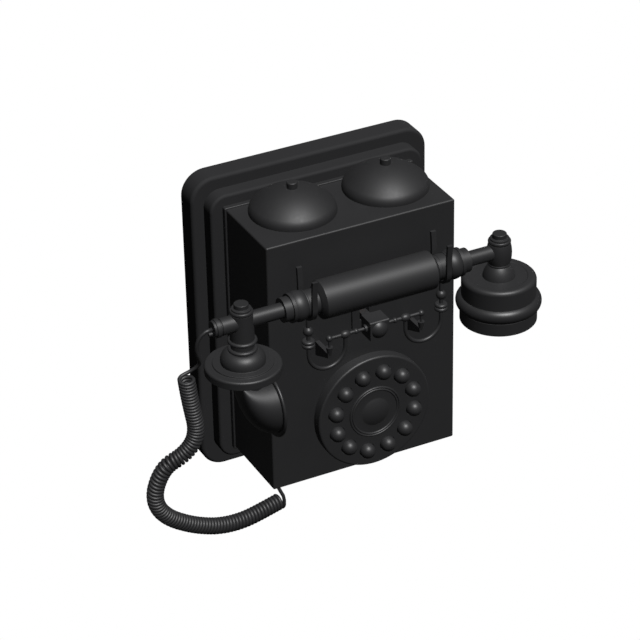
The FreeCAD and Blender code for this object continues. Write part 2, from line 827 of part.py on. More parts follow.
def make_gongs():
    """Two gongs on posts through the roof, with their nuts."""
    wall, bend = size.gong_wall, size.gong_shoulder
    flat, rise = size.gong_radius - bend, size.gong_rise - size.gong_lip
    # The crown's arc meets the shoulder's arc without a corner
    crown = (flat * flat + rise * rise - bend * bend) / ((rise - bend) * 2)
    middle = size.gong_rise - crown
    across, up = flat / (crown - bend), (size.gong_lip - middle) / (crown - bend)
    inner_crown = crown - wall
    seat_radius = size.post_radius + size.screw_clearance
    seat = middle + root(inner_crown * inner_crown - seat_radius * seat_radius)
    hole = size.gong_hole_radius
    hole_top = middle + root(crown * crown - hole * hole)
    shoulder = size.gong_lift + seat
    stud_top = size.gong_lift + size.gong_rise + size.nut_height - size.nut_edge
    posts, nuts, rooms = [], [], []
    for name, side in SIDES.items():
        centre = size.gong_spread * side
        node(turned(f"gong_{name}", [
            (hole, seat),
            (seat_radius, seat),
            (inner_crown * across, middle + inner_crown * up, Arc(inner_crown, hollow=True)),
            (size.gong_radius - wall, size.gong_lip, Arc(bend - wall, hollow=True)),
            (size.gong_radius - wall, 0),
            (size.gong_radius, 0),
            (size.gong_radius, size.gong_lip),
            (crown * across, middle + crown * up, Arc(bend)),
            (hole, hole_top, Arc(crown)),
        ], (centre, gong_y, case_top + size.gong_lift)))
        posts.append(turned(f"gong_post_{name}", [
            (0, 0),
            (size.post_radius, 0),
            (size.post_radius, size.post_tail),
            (size.post_flange_radius, size.post_tail),
            (size.post_flange_radius, size.post_tail + size.post_flange),
            (size.post_radius, size.post_tail + size.post_flange),
            (size.post_radius, size.post_tail + shoulder),
            (size.post_stud_radius, size.post_tail + shoulder),
            (size.post_stud_radius, size.post_tail + stud_top),
            (0, size.post_tail + stud_top),
        ], (centre, gong_y, case_top - size.post_tail)))
        nut_room = size.post_stud_radius + size.screw_clearance
        nuts.append(turned(f"gong_nut_{name}", [
            (nut_room, 0),
            (size.nut_radius, 0),
            (size.nut_radius, size.nut_height - size.nut_edge),
            (size.nut_radius - size.nut_edge, size.nut_height, Arc(size.nut_edge)),
            (0, size.nut_height),
            (0, stud_top - size.gong_lift - hole_top + size.screw_clearance),
            (nut_room, stud_top - size.gong_lift - hole_top + size.screw_clearance),
        ], (centre, gong_y, case_top + size.gong_lift + hole_top)))
        rooms.append(peg(f"gong_post_room_{name}", size.post_radius + size.screw_clearance,
                         size.case_wall, (centre, gong_y, case_top - size.case_wall)))
    node(group("gong_posts", posts))
    node(group("gong_nuts", nuts))
    return rooms


def make_ringer():
    """Ringer frame with cores and pivot, coils, rocking armature and the twin-hammer clapper."""
    pivot_z = case_top - size.ringer_drop
    armature_low = pivot_z - size.armature_thickness / 2
    core_top = armature_low - size.armature_gap
    yoke_top = core_top - size.coil_flange / 2 - size.coil_height
    plate_front = gong_y + size.coil_flange_radius + size.ringer_gap
    plate_back = plate_front + size.ringer_plate
    half = size.ringer_width / 2
    yoke_low = yoke_top - size.yoke_thickness
    coil_front = gong_y - size.coil_flange_radius
    bearing_front = gong_y - size.armature_width / 2 - size.screw_clearance
    solids = [
        block("ringer_plate",
              (-half, plate_front, yoke_low),
              (half, plate_back, pivot_z + size.ringer_foot)),
        block("ringer_yoke", (-size.yoke_width / 2, coil_front, yoke_low),
              (size.yoke_width / 2, plate_front, yoke_top)),
        peg("ringer_pivot", size.pivot_radius, plate_front - bearing_front,
            (0, bearing_front, pivot_z), BACKWARD),
        peg("ringer_spacer", size.hub_radius, plate_front - gong_y - size.armature_width / 2
            - size.screw_clearance, (0, plate_front, pivot_z), FORWARD),
    ]
    coils, screws, rooms = [], [], []
    for name, side in SIDES.items():
        x = size.coil_spacing / 2 * side
        solids.append(peg(f"ringer_core_{name}", size.core_radius, core_top - yoke_low,
                          (x, gong_y, yoke_low)))
        bore = size.core_radius + size.core_fit
        coils.append(turned(f"ringer_coil_{name}", [
            (bore, 0),
            (size.coil_flange_radius, 0),
            (size.coil_flange_radius, size.coil_flange),
            (size.coil_radius, size.coil_flange),
            (size.coil_radius, size.coil_height - size.coil_flange),
            (size.coil_flange_radius, size.coil_height - size.coil_flange),
            (size.coil_flange_radius, size.coil_height),
            (bore, size.coil_height),
        ], (x, gong_y, yoke_top)))
        foot = half - size.ringer_foot if side > 0 else -half
        solids.append(block(f"ringer_foot_{name}", (foot, plate_back, yoke_low),
                            (foot + size.ringer_foot, case_back, yoke_low + size.ringer_foot)))
        screw_x = foot + size.ringer_foot / 2
        screw_z = yoke_low + size.ringer_foot / 2
        grip = size.panel_thickness / 2
        length = case_back - plate_front + grip
        screws.append(screw(f"ringer_screw_{name}",
                            (screw_x, plate_front - size.screw_head_height, screw_z), BACKWARD, length))
        rooms.append(peg(f"ringer_screw_room_{name}", size.screw_radius + size.screw_clearance,
                         length + size.screw_clearance, (screw_x, plate_front, screw_z), BACKWARD))
    node(cut("ringer_frame", joined("ringer_solid", *solids), *rooms))
    node(group("ringer_coils", coils))
    node(group("ringer_screws", screws))

    length, width = size.armature_length / 2, size.armature_width / 2
    bar = block("armature_bar", (-length, gong_y - width, armature_low),
                (length, gong_y + width, armature_low + size.armature_thickness))
    hub = peg("armature_hub", size.hub_radius, size.armature_width, (0, gong_y - width, pivot_z), BACKWARD)
    bore = peg("armature_bore", size.pivot_radius + size.pivot_fit, size.armature_width,
               (0, gong_y - width, pivot_z), BACKWARD)
    node(cut("ringer_armature", joined("armature_solid", bar, hub), bore))

    bar_low = armature_low + size.armature_thickness
    hammer_x = size.gong_spread - size.hammer_inset
    hammer_z = case_top + size.gong_lift + size.hammer_lift
    bar_half = size.clapper_bar_width / 2
    hub_room = size.hub_radius + size.screw_clearance
    foot_end = hammer_x + bar_half
    wires, slots = [], []
    for name, side in SIDES.items():
        x = hammer_x * side
        wires.append(peg(f"clapper_rod_{name}", size.clapper_rod_radius, hammer_z - bar_low,
                         (x, gong_y, bar_low)))
        ball = doc.addObject("Part::Sphere", f"clapper_ball_{name}")
        bind(ball, "Radius", size.hammer_radius)
        wires.append(place(ball, (x, gong_y, hammer_z)))
        foot_low, foot_high = (hub_room, foot_end) if side > 0 else (-foot_end, -hub_room)
        wires.append(block(f"clapper_foot_{name}", (foot_low, gong_y - bar_half, bar_low),
                           (foot_high, gong_y + bar_half, bar_low + size.clapper_bar)))
        slot_x, slot_y = size.clapper_slot_length / 2, size.clapper_slot_width / 2
        slots.append(block(f"clapper_slot_{name}", (x - slot_x, gong_y - slot_y, case_top - size.case_wall),
                           (x + slot_x, gong_y + slot_y, case_top)))
    bridge_low = pivot_z + hub_room
    reach = hub_room + size.clapper_bar
    wires.append(block("clapper_bridge", (-reach, gong_y - bar_half, bridge_low),
                       (reach, gong_y + bar_half, bridge_low + size.clapper_bar)))
    for name, side in SIDES.items():
        riser_low, riser_high = (hub_room, reach) if side > 0 else (-reach, -hub_room)
        wires.append(block(f"clapper_riser_{name}", (riser_low, gong_y - bar_half, bar_low),
                           (riser_high, gong_y + bar_half, bridge_low + size.clapper_bar)))
    node(joined("clapper", *wires))
    return rooms, slots


def make_cradle():
    """Cradle block, rods, fork arms, guide brackets and the plate that the block's tongue goes through."""
    half = size.block_depth / 2
    block_front, block_back = cradle_y - half, cradle_y + half
    body = padded("cradle_cube", "XZ_Plane", rectangle(size.block_width, size.block_height), size.block_depth,
                  (0, block_back, rod_z))

    def front_top(edge):
        box = edge.BoundBox
        level = box.ZMin > 0 and box.ZLength < TOLERANCE
        return level and box.YMax < -size.block_depth.value + TOLERANCE

    round_edges(body, "front_top", size.block_edge, front_top)
    boss_crown = crown_radius(size.boss_radius, size.boss_rise)
    boss = turned("cradle_boss", [
        (0, 0),
        (size.boss_radius, 0),
        (0, size.boss_rise, Arc(boss_crown)),
    ], (0, block_front, rod_z), FORWARD)
    tongue_x, tongue_z = size.tongue_width / 2, size.tongue_height / 2
    tongue_end = front + size.tongue_reach
    tongue = block("cradle_tongue", (-tongue_x, block_back - size.block_edge, rod_z - tongue_z),
                   (tongue_x, tongue_end, rod_z + tongue_z))
    side_x = size.block_width / 2
    sockets = [
        peg(f"rod_socket_{name}", size.rod_radius + size.arm_eye_fit, size.rod_spigot + size.screw_clearance,
            (side_x * side, cradle_y, rod_z), LEFT if side > 0 else RIGHT)
        for name, side in SIDES.items()
    ]
    node(cut("cradle_block", joined("cradle_block_solid", body, boss, tongue), *sockets))

    fit = size.tongue_fit
    slot_low = (-tongue_x - fit, front - size.plate_thickness, rod_z - tongue_z - fit)
    slot_high = (tongue_x + fit, front + size.case_wall, rod_z + tongue_z + size.hook_travel + fit)
    slot = block("tongue_slot", slot_low, slot_high)
    plate_low = rod_z - size.plate_drop
    plate = block("plate_blank", (-size.plate_width / 2, front - size.plate_thickness, plate_low),
                  (size.plate_width / 2, front, plate_low + size.plate_height))
    node(cut("cradle_plate", plate, slot))

    rods = []
    for name, side in SIDES.items():
        turn = RIGHT if side > 0 else LEFT
        spigot, radius = size.rod_spigot, size.rod_radius
        bead = spigot + size.rod_bead_station - side_x
        ball = spigot + size.rod_ball_station - side_x
        bead_half = root(size.rod_bead_radius * size.rod_bead_radius - radius * radius)
        ball_half = root(size.rod_ball_radius * size.rod_ball_radius - radius * radius)
        stick = turned(f"rod_stick_{name}", [
            (0, 0),
            (radius, 0),
            (radius, spigot),
            (size.rod_collar_radius, spigot),
            (size.rod_collar_radius, spigot + size.rod_collar),
            (radius, spigot + size.rod_collar),
            (radius, bead - bead_half),
            (radius, bead + bead_half, Arc(size.rod_bead_radius)),
            (radius, ball - ball_half),
            (0, ball + size.rod_ball_radius, Arc(size.rod_ball_radius)),
        ], ((side_x - spigot) * side, cradle_y, rod_z), turn)
        pin = peg(f"guide_pin_{name}", size.guide_pin_radius, size.guide_pin_length,
                  (size.rod_ball_station * side, cradle_y, rod_z), DOWN)
        rods.append(joined(f"rod_{name}", stick, pin))
    node(group("cradle_rods", rods))
    for name, side in SIDES.items():
        make_cradle_arm(name, side)
        make_bracket(name, side)
    return slot


def make_cradle_arm(name, side):
    """One fork arm: eye on the rod, U-bent wire, turned column and the fork that holds the handset."""
    bend = (size.arm_outer - size.arm_inner) / 2
    bend_z = rod_z - size.arm_drop
    wire = size.arm_wire_radius
    eye = doc.addObject("Part::Ellipsoid", f"arm_eye_{name}")
    bind(eye, "Radius1", size.arm_eye_length)
    bind(eye, "Radius2", size.arm_eye_radius)
    bind(eye, "Radius3", size.arm_eye_radius)
    eye.Angle1 = -90
    eye.Angle2 = 90
    place(eye, (size.arm_inner * side, cradle_y, rod_z), RIGHT)
    bow = doc.addObject("Part::Torus", f"arm_bow_{name}")
    bind(bow, "Radius1", bend)
    bind(bow, "Radius2", wire)
    bow.Angle1 = -180
    bow.Angle2 = 180
    bow.Angle3 = 180
    place(bow, ((size.arm_inner + bend) * side, cradle_y, bend_z), BACKWARD)
    legs = [
        peg(f"arm_leg_inner_{name}", wire, size.arm_drop, (size.arm_inner * side, cradle_y, bend_z)),
        peg(f"arm_leg_outer_{name}", wire, size.arm_drop, (size.arm_outer * side, cradle_y, bend_z)),
    ]
    disc, ball = size.column_disc_radius, size.column_ball_radius
    disc_low = size.arm_drop + size.column_disc_height - size.column_disc
    disc_crown = crown_radius(size.column_disc / 2, size.column_disc_round)
    rim = disc - size.column_disc_round
    ball_z = size.arm_drop + size.column_ball_height
    ball_half = root(ball * ball - wire * wire)
    saddle = handset_z - bend_z - size.fork_radius - size.fork_thickness / 2
    column = turned(f"arm_column_{name}", [
        (0, 0),
        (wire, 0),
        (wire, disc_low),
        (rim, disc_low),
        (rim, disc_low + size.column_disc, Arc(disc_crown)),
        (rim, disc_low + size.column_disc * 2, Arc(disc_crown)),
        (wire, disc_low + size.column_disc * 2),
        (wire, ball_z - ball_half),
        (wire, ball_z + ball_half, Arc(ball)),
        (wire, saddle),
        (0, saddle),
    ], (size.arm_outer * side, cradle_y, bend_z))
    inner, outer = size.fork_radius, size.fork_radius + size.fork_thickness
    flare, start, top = size.fork_flare, size.fork_flare_start, size.fork_height
    fork = padded(f"arm_fork_{name}", "YZ_Plane", [
        (-inner, 0, Arc(inner, hollow=True)),
        (-inner, start),
        (-inner - flare, top),
        (-outer - flare, top),
        (-outer, start),
        (-outer, 0),
        (0, -outer, Arc(outer)),
        (outer, 0, Arc(outer)),
        (outer, start),
        (outer + flare, top),
        (inner + flare, top),
        (inner, start),
        (inner, 0),
        (0, -inner, Arc(inner, hollow=True)),
    ], size.fork_width, (size.arm_outer * side, cradle_y, handset_z), centred=True)
    bore = peg(f"arm_eye_bore_{name}", size.rod_radius + size.arm_eye_fit, size.arm_eye_length * 2,
               ((size.arm_inner * side) - size.arm_eye_length, cradle_y, rod_z), RIGHT)
    solid = joined(f"arm_solid_{name}", eye, bow, *legs, column, fork)
    node(cut(f"cradle_arm_{name}", solid, bore))


def make_bracket(name, side):
    """One guide bracket: a tapered arm off the case front whose cone takes the rod's guide pin."""
    root_low = rod_z - size.bracket_root_drop
    tip_low = rod_z - size.bracket_tip_drop
    reach = size.cradle_reach + size.bracket_tip_reach
    x = size.rod_ball_station * side
    arm = padded(f"bracket_arm_{name}", "YZ_Plane", [
        (-reach, tip_low),
        (0, root_low),
        (0, root_low + size.bracket_root_height),
        (-reach, tip_low + size.bracket_tip_height),
    ], size.bracket_thickness, (x, front, 0), centred=True)
    cone_top = rod_z - size.cone_top_drop
    cup_low = tip_low + size.bracket_tip_height / 2
    cup = cone(f"bracket_cone_{name}", size.cone_tip_radius, size.cone_radius, cone_top - cup_low,
               (x, cradle_y, cup_low))
    pin_low = rod_z - size.guide_pin_length - size.guide_room
    bore = peg(f"guide_bore_{name}", size.guide_pin_radius + size.guide_fit, cone_top - pin_low,
               (x, cradle_y, pin_low))
    node(cut(f"cradle_bracket_{name}", joined(f"bracket_solid_{name}", arm, cup), bore))


def make_hook_switch():
    """Hook lever under the cradle's tongue, its pivot on the switch base, and the leaf spring."""
    lever_top = rod_z - size.tongue_height / 2 - size.lever_gap
    pivot_z = lever_top - size.lever_height / 2
    lever_front = front + size.tongue_reach - size.lever_width
    lever_back = front + size.tongue_reach
    pin = size.lever_pin_radius
    base_front = front + size.case_wall
    base_left, base_right = size.lever_arm - size.switch_width / 2, size.lever_arm + size.switch_width / 2
    base_low, base_high = pivot_z - size.switch_height / 2, pivot_z + size.switch_height / 2
    base = block("switch_base", (base_left, base_front, base_low),
                 (base_right, base_front + size.switch_thickness, base_high))
    post = peg("switch_pin", pin, lever_back - base_front, (size.lever_arm, base_front, pivot_z), BACKWARD)
    spacer = peg("switch_spacer", size.lever_spacer_radius, lever_front - base_front - size.screw_clearance,
                 (size.lever_arm, base_front, pivot_z), BACKWARD)
    leaf_z = base_low + size.spring_ledge
    ledge = block("switch_ledge", (base_left, base_front, base_low), (base_right, lever_back, leaf_z))
    node(joined("hook_switch", base, post, spacer, ledge))

    bar = block("lever_bar", (-size.lever_nose, lever_front, lever_top - size.lever_height),
                (size.lever_arm + size.lever_tail, lever_back, lever_top))
    hub_front = (size.lever_arm, lever_front, pivot_z)
    hub = peg("lever_hub", size.lever_hub_radius, size.lever_width, hub_front, BACKWARD)
    bore = peg("lever_bore", pin + size.pivot_fit, size.lever_width, hub_front, BACKWARD)
    node(cut("hook_lever", joined("lever_solid", bar, hub), bore))

    leaf_end = size.lever_arm - size.spring_length
    tip_top = lever_top - size.lever_height
    leaf = block("leaf_strip", (leaf_end, lever_front, leaf_z),
                 (base_right, lever_back, leaf_z + size.spring_leaf))
    tip = block("leaf_tip",
                (leaf_end, lever_front, leaf_z),
                (leaf_end + size.spring_leaf, lever_back, tip_top))
    node(joined("hook_spring", leaf, tip))


def stem_top_outline(start):
    """The head of a handset stem, above its barrel: a ring with a socket for the cap."""
    ring, half = size.stem_ring, size.stem_ring / 2
    foot = size.stem_ring_radius - half
    socket = size.stem_cap_radius - size.stem_cap_edge + size.screw_clearance
    return [
        (foot, start),
        (foot, start + ring, Arc(half + size.stem_cap_edge)),
        (socket, start + ring),
        (socket, start + ring - size.stem_cap_spigot),
        (0, start + ring - size.stem_cap_spigot),
    ]


def make_handset():
    """Tube, grip, collars, mouth and ear stems with their caps, the mouthpiece and the receiver."""
    mouth_x = case_left - size.mouth_stem_margin
    ear_x = size.case_width / 2 + size.ear_stem_margin
    axis = cradle_y, handset_z
    fit = size.tube_fit
    tube_left, tube_right = mouth_x + size.tube_seat, ear_x - size.tube_seat
    tube = peg("tube_bar", size.tube_radius, tube_right - tube_left, (tube_left, *axis), RIGHT)
    bore = peg("tube_core", size.tube_bore, tube_right - tube_left, (tube_left, *axis), RIGHT)
    node(cut("handset_tube", tube, bore))

    sleeve = size.tube_radius + fit
    half = size.grip_length / 2 + size.grip_cone
    node(turned("handset_grip", [
        (sleeve, 0),
        (size.grip_end_radius, 0),
        (size.grip_radius, size.grip_cone),
        (size.grip_radius, size.grip_cone + size.grip_length),
        (size.grip_end_radius, half * 2),
        (sleeve, half * 2),
    ], (-half, *axis), RIGHT))

    end = size.collar_end
    neck = end + size.neck_length
    bead = neck + size.collar_bead
    swell = bead + size.collar_swell
    rim = swell + size.collar_rim
    reach = rim + size.collar_sleeve
    swell_crown = crown_radius(size.collar_swell / 2, size.collar_swell_radius - size.collar_swell_foot)
    bead_crown = crown_radius(size.collar_bead / 2, size.collar_bead_radius - size.neck_radius)
    collars = [
        turned(f"collar_{name}", [
            (sleeve, 0),
            (size.collar_end_radius, 0),
            (size.collar_end_radius, end),
            (size.neck_radius, end),
            (size.neck_radius, neck),
            (size.neck_radius, bead, Arc(bead_crown)),
            (size.collar_swell_foot, bead),
            (size.collar_swell_foot, swell, Arc(swell_crown)),
            (size.collar_rim_radius, swell),
            (size.collar_rim_radius, rim),
            (size.collar_sleeve_radius, rim),
            (size.collar_sleeve_radius, reach),
            (sleeve, reach),
        ], (half * side, *axis), RIGHT if side > 0 else LEFT)
        for name, side in SIDES.items()
    ]
    node(group("handset_collars", collars))
    make_stem_caps(mouth_x, ear_x)
    make_mouthpiece(mouth_x)
    make_receiver(ear_x)
    return make_inlet(mouth_x)


def make_stem_caps(mouth_x, ear_x):
    """The knob caps that close the two stems."""
    spigot, edge = size.stem_cap_spigot, size.stem_cap_edge
    step = spigot + size.stem_cap_step
    top = step + size.stem_cap_height
    caps = [
        turned(f"stem_cap_{name}", [
            (0, 0),
            (size.stem_cap_radius - edge, 0),
            (size.stem_cap_radius - edge, spigot),
            (size.stem_cap_step_radius, spigot),
            (size.stem_cap_step_radius, step),
            (size.stem_cap_radius, step),
            (size.stem_cap_radius, top - edge),
            (size.stem_cap_radius - edge, top, Arc(edge)),
            (0, top),
        ], (x, cradle_y, handset_z + size.stem_top + size.stem_ring - spigot))
        for name, x in (("mouth", mouth_x), ("ear", ear_x))
    ]
    node(group("stem_caps", caps))


def make_mouthpiece(x):
    """Mouth stem, transmitter housing, its capsule and the horn below."""
    drop, ring = size.mouth_stem_drop, size.mouth_ring
    bead_crown = crown_radius(ring / 2, size.mouth_ring_radius - size.mouth_groove_radius)
    groove = ring + size.mouth_ring_step
    stem_foot = groove + ring
    head = drop + size.stem_top
    foot_z = handset_z - drop
    wire_bore = size.tube_bore
    stem = turned("mouth_stem_turned", [
        (wire_bore, 0),
        (size.mouth_groove_radius, 0),
        (size.mouth_groove_radius, ring, Arc(bead_crown)),
        (size.mouth_groove_radius - size.mouth_step, ring),
        (size.mouth_groove_radius - size.mouth_step, groove),
        (size.mouth_groove_radius, groove),
        (size.mouth_groove_radius, stem_foot, Arc(bead_crown)),
        (size.stem_radius, stem_foot),
        (size.stem_top_radius, head),
        *stem_top_outline(head),
        (0, drop + size.tube_radius),
        (wire_bore, drop + size.tube_radius),
    ], (x, cradle_y, foot_z))
    tube_room = peg("mouth_tube_room", size.tube_radius + size.tube_fit, size.stem_radius,
                    (x, cradle_y, handset_z), RIGHT)
    inlet_room = peg("mouth_inlet_room", size.inlet_radius + size.tube_fit, size.stem_radius,
                     (x - size.inlet_seat, cradle_y, handset_z), LEFT)
    node(cut("mouth_stem", stem, tube_room, inlet_room))

    flange, step = size.mouth_flange, size.mouth_flange + size.mouth_step
    top = step + size.mouth_dome
    dome_run = diagonal(size.mouth_dome_radius - size.mouth_ring_radius, size.mouth_dome)
    dome_crown = crown_radius(dome_run / 2, size.mouth_dome_bulge)
    edge = size.mouth_flange_edge
    node(turned("mouth_flange", [
        (size.mouth_cavity_radius, 0),
        (size.mouth_flange_radius, 0),
        (size.mouth_flange_radius, flange - edge),
        (size.mouth_flange_radius - edge, flange, Arc(edge)),
        (size.mouth_step_radius, flange),
        (size.mouth_step_radius, step),
        (size.mouth_dome_radius, step),
        (size.mouth_ring_radius, top, Arc(dome_crown)),
        (wire_bore, top),
        (wire_bore, size.mouth_cavity),
        (size.mouth_cavity_radius, size.mouth_cavity),
    ], (x, cradle_y, foot_z - top)))
    gap = size.capsule_clearance
    node(turned("transmitter_capsule", [
        (0, 0),
        (size.mouth_cavity_radius - gap, 0),
        (size.mouth_cavity_radius - gap, size.mouth_capsule),
        (0, size.mouth_capsule),
    ], (x, cradle_y, foot_z - top + gap)))
    make_horn(x, foot_z - top)


HORN_STEPS = 5


def horn_bowl(name, x, top, inset):
    """The horn's bowl as a loft of upright circles, which grow and sink from its back to its mouth."""
    back, mouth = size.horn_back_radius.value, size.horn_radius.value
    circles = []
    for step in range(HORN_STEPS + 1):
        turn = math.pi / 2 * step / HORN_STEPS
        swell, run = math.sin(turn), 1 - math.cos(turn)
        along = (size.horn_reach.value + size.horn_back_shift.value) * run - size.horn_back_shift.value
        along = along + inset.value * (1 - run)
        down = size.horn_back_drop.value * (1 - swell) + size.horn_drop.value * swell
        radius = back * (1 - swell) + mouth * swell - inset.value
        circle = Part.Circle(Vector(along, 0, -down), Vector(1, 0, 0), radius)
        circles.append(Part.Wire(circle.toShape()))
    bowl = doc.addObject("Part::Feature", name)
    bowl.Shape = Part.makeLoft(circles, True)
    bowl.Placement = Placement(Vector(x.value, cradle_y.value, top.value), UP)
    return bowl


def make_horn(x, top):
    """The horn: a bowl with a rolled lip that opens to the side, on a neck with a fixing collar."""
    wall, lip = size.horn_wall, size.horn_lip_thickness
    bowl = horn_bowl("horn_outside", x, top, as_size(0))
    cavity = horn_bowl("horn_inside", x, top, wall)
    lip_foot = size.horn_lip_radius - size.horn_lip_bulge
    rim = turned("horn_rim", [
        (size.horn_radius - wall, 0),
        (lip_foot, 0),
        (lip_foot, lip, Arc(crown_radius(lip / 2, size.horn_lip_bulge))),
        (size.horn_radius - wall, lip),
    ], (x + size.horn_reach - lip, cradle_y, top - size.horn_drop), RIGHT)
    neck_top = (x + size.horn_neck_shift, cradle_y, top)
    neck = peg("horn_neck", size.horn_neck_radius, size.horn_neck, neck_top, DOWN)
    bore = peg("horn_bore", size.horn_neck_radius - wall, size.horn_neck, neck_top, DOWN)
    collar = peg("horn_collar", size.horn_collar_radius, size.horn_collar, (x, cradle_y, top), DOWN)
    node(cut("mouth_horn", joined("horn_solid", bowl, rim, neck, collar), cavity, bore))


def make_receiver(x):
    """Ear stem, receiver cup, bead band, ear cap and the receiver capsule."""
    drop, ring = size.ear_stem_drop, size.ear_ring
    waist = size.ear_ring_radius - ring / 2
    foot = size.ear_foot
    barrel = foot + ring
    height = drop + size.stem_top
    head = barrel + height
    barrel_crown = crown_radius(height / 2, size.ear_barrel_radius - size.stem_top_radius)
    foot_run = diagonal(size.ear_foot_radius - size.ear_foot_waist, foot)
    foot_crown = crown_radius(foot_run / 2, size.ear_foot_bulge)
    foot_z = handset_z - drop - barrel
    stem = turned("ear_stem_turned", [
        (size.tube_bore, 0),
        (size.ear_foot_radius, 0),
        (size.ear_foot_waist, foot, Arc(foot_crown)),
        (waist, foot),
        (waist, barrel, Arc(ring / 2 + size.stem_cap_edge)),
        (size.stem_top_radius, barrel),
        (size.stem_top_radius, head, Arc(barrel_crown)),
        *stem_top_outline(head),
        (0, barrel + drop + size.tube_radius),
        (size.tube_bore, barrel + drop + size.tube_radius),
    ], (x, cradle_y, foot_z))
    cross = peg("ear_stem_bore", size.tube_radius + size.tube_fit, size.ear_barrel_radius + size.tube_fit,
                (x, cradle_y, handset_z), LEFT)
    node(cut("ear_stem", stem, cross))

    cup, spigot, wall = size.ear_cup, size.ear_spigot, size.ear_cup_wall
    edge = size.ear_cup_edge
    top = spigot + cup
    bore = size.ear_spigot_radius - size.ear_spigot_wall
    node(turned("receiver_cup", [
        (bore, 0),
        (size.ear_spigot_radius, 0),
        (size.ear_spigot_radius, spigot),
        (size.ear_cup_radius, spigot),
        (size.ear_cup_radius, top - edge),
        (size.ear_cup_radius - edge, top, Arc(edge)),
        (size.ear_cup_step_radius, top),
        (size.ear_cup_step_radius - size.ear_cup_step, top - size.ear_cup_step),
        (size.tube_bore, top - size.ear_cup_step),
        (size.tube_bore, top - size.ear_cup_step - wall),
        (bore, top - size.ear_cup_step - wall),
    ], (x, cradle_y, foot_z - top + size.ear_cup_step)))
    cup_low = foot_z - top + size.ear_cup_step + spigot
    band, inner = size.ear_band, size.ear_spigot_radius + size.ear_ring_fit
    band_foot = size.ear_cup_radius + size.ear_ring_fit
    band_crown = crown_radius(band / 2, size.ear_band_radius - band_foot)
    node(turned("receiver_band", [
        (inner, 0),
        (band_foot, 0),
        (band_foot, band, Arc(band_crown)),
        (inner, band),
    ], (x, cradle_y, cup_low - band)))
    cap, face = size.ear_cap, size.ear_cap_face
    thread = spigot - band + size.ear_ring_fit
    cap_low = cup_low - band - cap
    ear = turned("ear_cap_turned", [
        (0, size.ear_dish),
        (size.ear_capsule_radius, 0),
        (size.ear_cap_radius, 0),
        (size.ear_cap_radius, cap),
        (inner, cap),
        (inner, cap - thread),
        (bore, cap - thread),
        (bore, face),
        (0, face),
    ], (x, cradle_y, cap_low))
    holes = [peg("ear_hole_0", size.ear_hole_radius, face, (x, cradle_y, cap_low))]
    hole_count = SIZES["ear_hole_count"]
    for number in range(hole_count):
        angle = 2 * math.pi * number / hole_count
        across, along = size.ear_hole_circle * math.cos(angle), size.ear_hole_circle * math.sin(angle)
        at = (x + across, cradle_y + along, cap_low)
        holes.append(peg(f"ear_hole_{number + 1}", size.ear_hole_radius, face, at))
    node(cut("ear_cap", ear, *holes))
    node(turned("receiver_capsule", [
        (0, 0),
        (size.ear_capsule_radius, 0),
        (size.ear_capsule_radius, size.ear_capsule),
        (0, size.ear_capsule),
    ], (x, cradle_y, cap_low + face + size.capsule_clearance)))


def make_inlet(x):
    """The cord inlet on the mouth stem: a stub with a groove, a ring, an end plug and a clamping lug."""
    groove = size.inlet_length
    ring = groove + size.inlet_groove
    plug = ring + size.inlet_ring
    end = plug + size.inlet_end
    stub = turned("inlet_turned", [
        (0, size.inlet_seat),
        (size.inlet_radius, size.inlet_seat),
        (size.inlet_radius, groove),
        (size.inlet_groove_radius, groove),
        (size.inlet_groove_radius, ring),
        (size.inlet_ring_radius, ring),
        (size.inlet_ring_radius, plug),
        (size.inlet_end_radius, plug),
        (size.inlet_end_radius, end),
        (0, end),
    ], (x, cradle_y, handset_z), LEFT)
    lug = peg("inlet_lug", size.inlet_lug_radius, size.inlet_lug,
              (x - end, cradle_y, handset_z - size.inlet_lug_drop), LEFT)
    node(joined("cord_inlet", stub, lug))
    return x - end


def make_grommet():
    """The grommet in the floor of the case where the cord goes in."""
    lip, neck = size.grommet_lip, size.grommet_neck_radius
    wall = lip + size.case_wall
    at = case_left + size.grommet_inset, front + size.grommet_setback
    node(turned("cord_grommet", [
        (0, 0),
        (size.grommet_lip_radius, 0),
        (size.grommet_lip_radius, lip),
        (neck, lip),
        (neck, wall),
        (size.grommet_lip_radius, wall),
        (size.grommet_lip_radius, wall + lip),
        (0, wall + lip),
    ], (*at, case_bottom - lip)))
    return peg("grommet_room", neck + size.grommet_fit, size.case_wall, (*at, case_bottom))


# Hand-placed points of the handset cord, from the lower left front corner of the case: the loose
# stretch between the inlet and the coil, and the coil's axis. They were placed for an inlet at ROUTE_SPAN.
ROUTE_SPAN = (-48.5, -17.8, 151.5)
CORD_LOOP = [
    (-58.2, -16.7, 146.1),
    (-59.6, -15.6, 138.3),
    (-57.2, -14.1, 130.3),
    (-54.6, -11.2, 123.7),
]
COIL_AXIS = [
    (-66.0, -12.7, 116.5),
    (-64.2, -11.4, 104.1),
    (-61.2, -9.7, 88.0),
    (-58.4, -8.3, 74.2),
    (-60.3, -7.2, 62.4),
    (-68.5, -6.0, 53.6),
    (-79.5, -4.8, 49.1),
    (-85.8, -3.7, 39.1),
    (-88.8, -2.5, 26.6),
    (-86.4, -1.3, 14.6),
    (-78.6, 0.1, 2.9),
    (-67.5, 1.5, -6.9),
    (-54.5, 3.1, -15.9),
    (-38.5, 4.8, -23.1),
    (-21.0, 6.5, -25.2),
    (-4.5, 8.9, -22.5),
    (10.2, 12.0, -19.2),
]
SAMPLES_PER_TURN = 12
BIARCS_PER_TURN = 2
AXIS_DEGREE = 2
CORNER_SHARE = 0.45


def unit(vector):
    """A direction of length one."""
    return vector / vector.Length


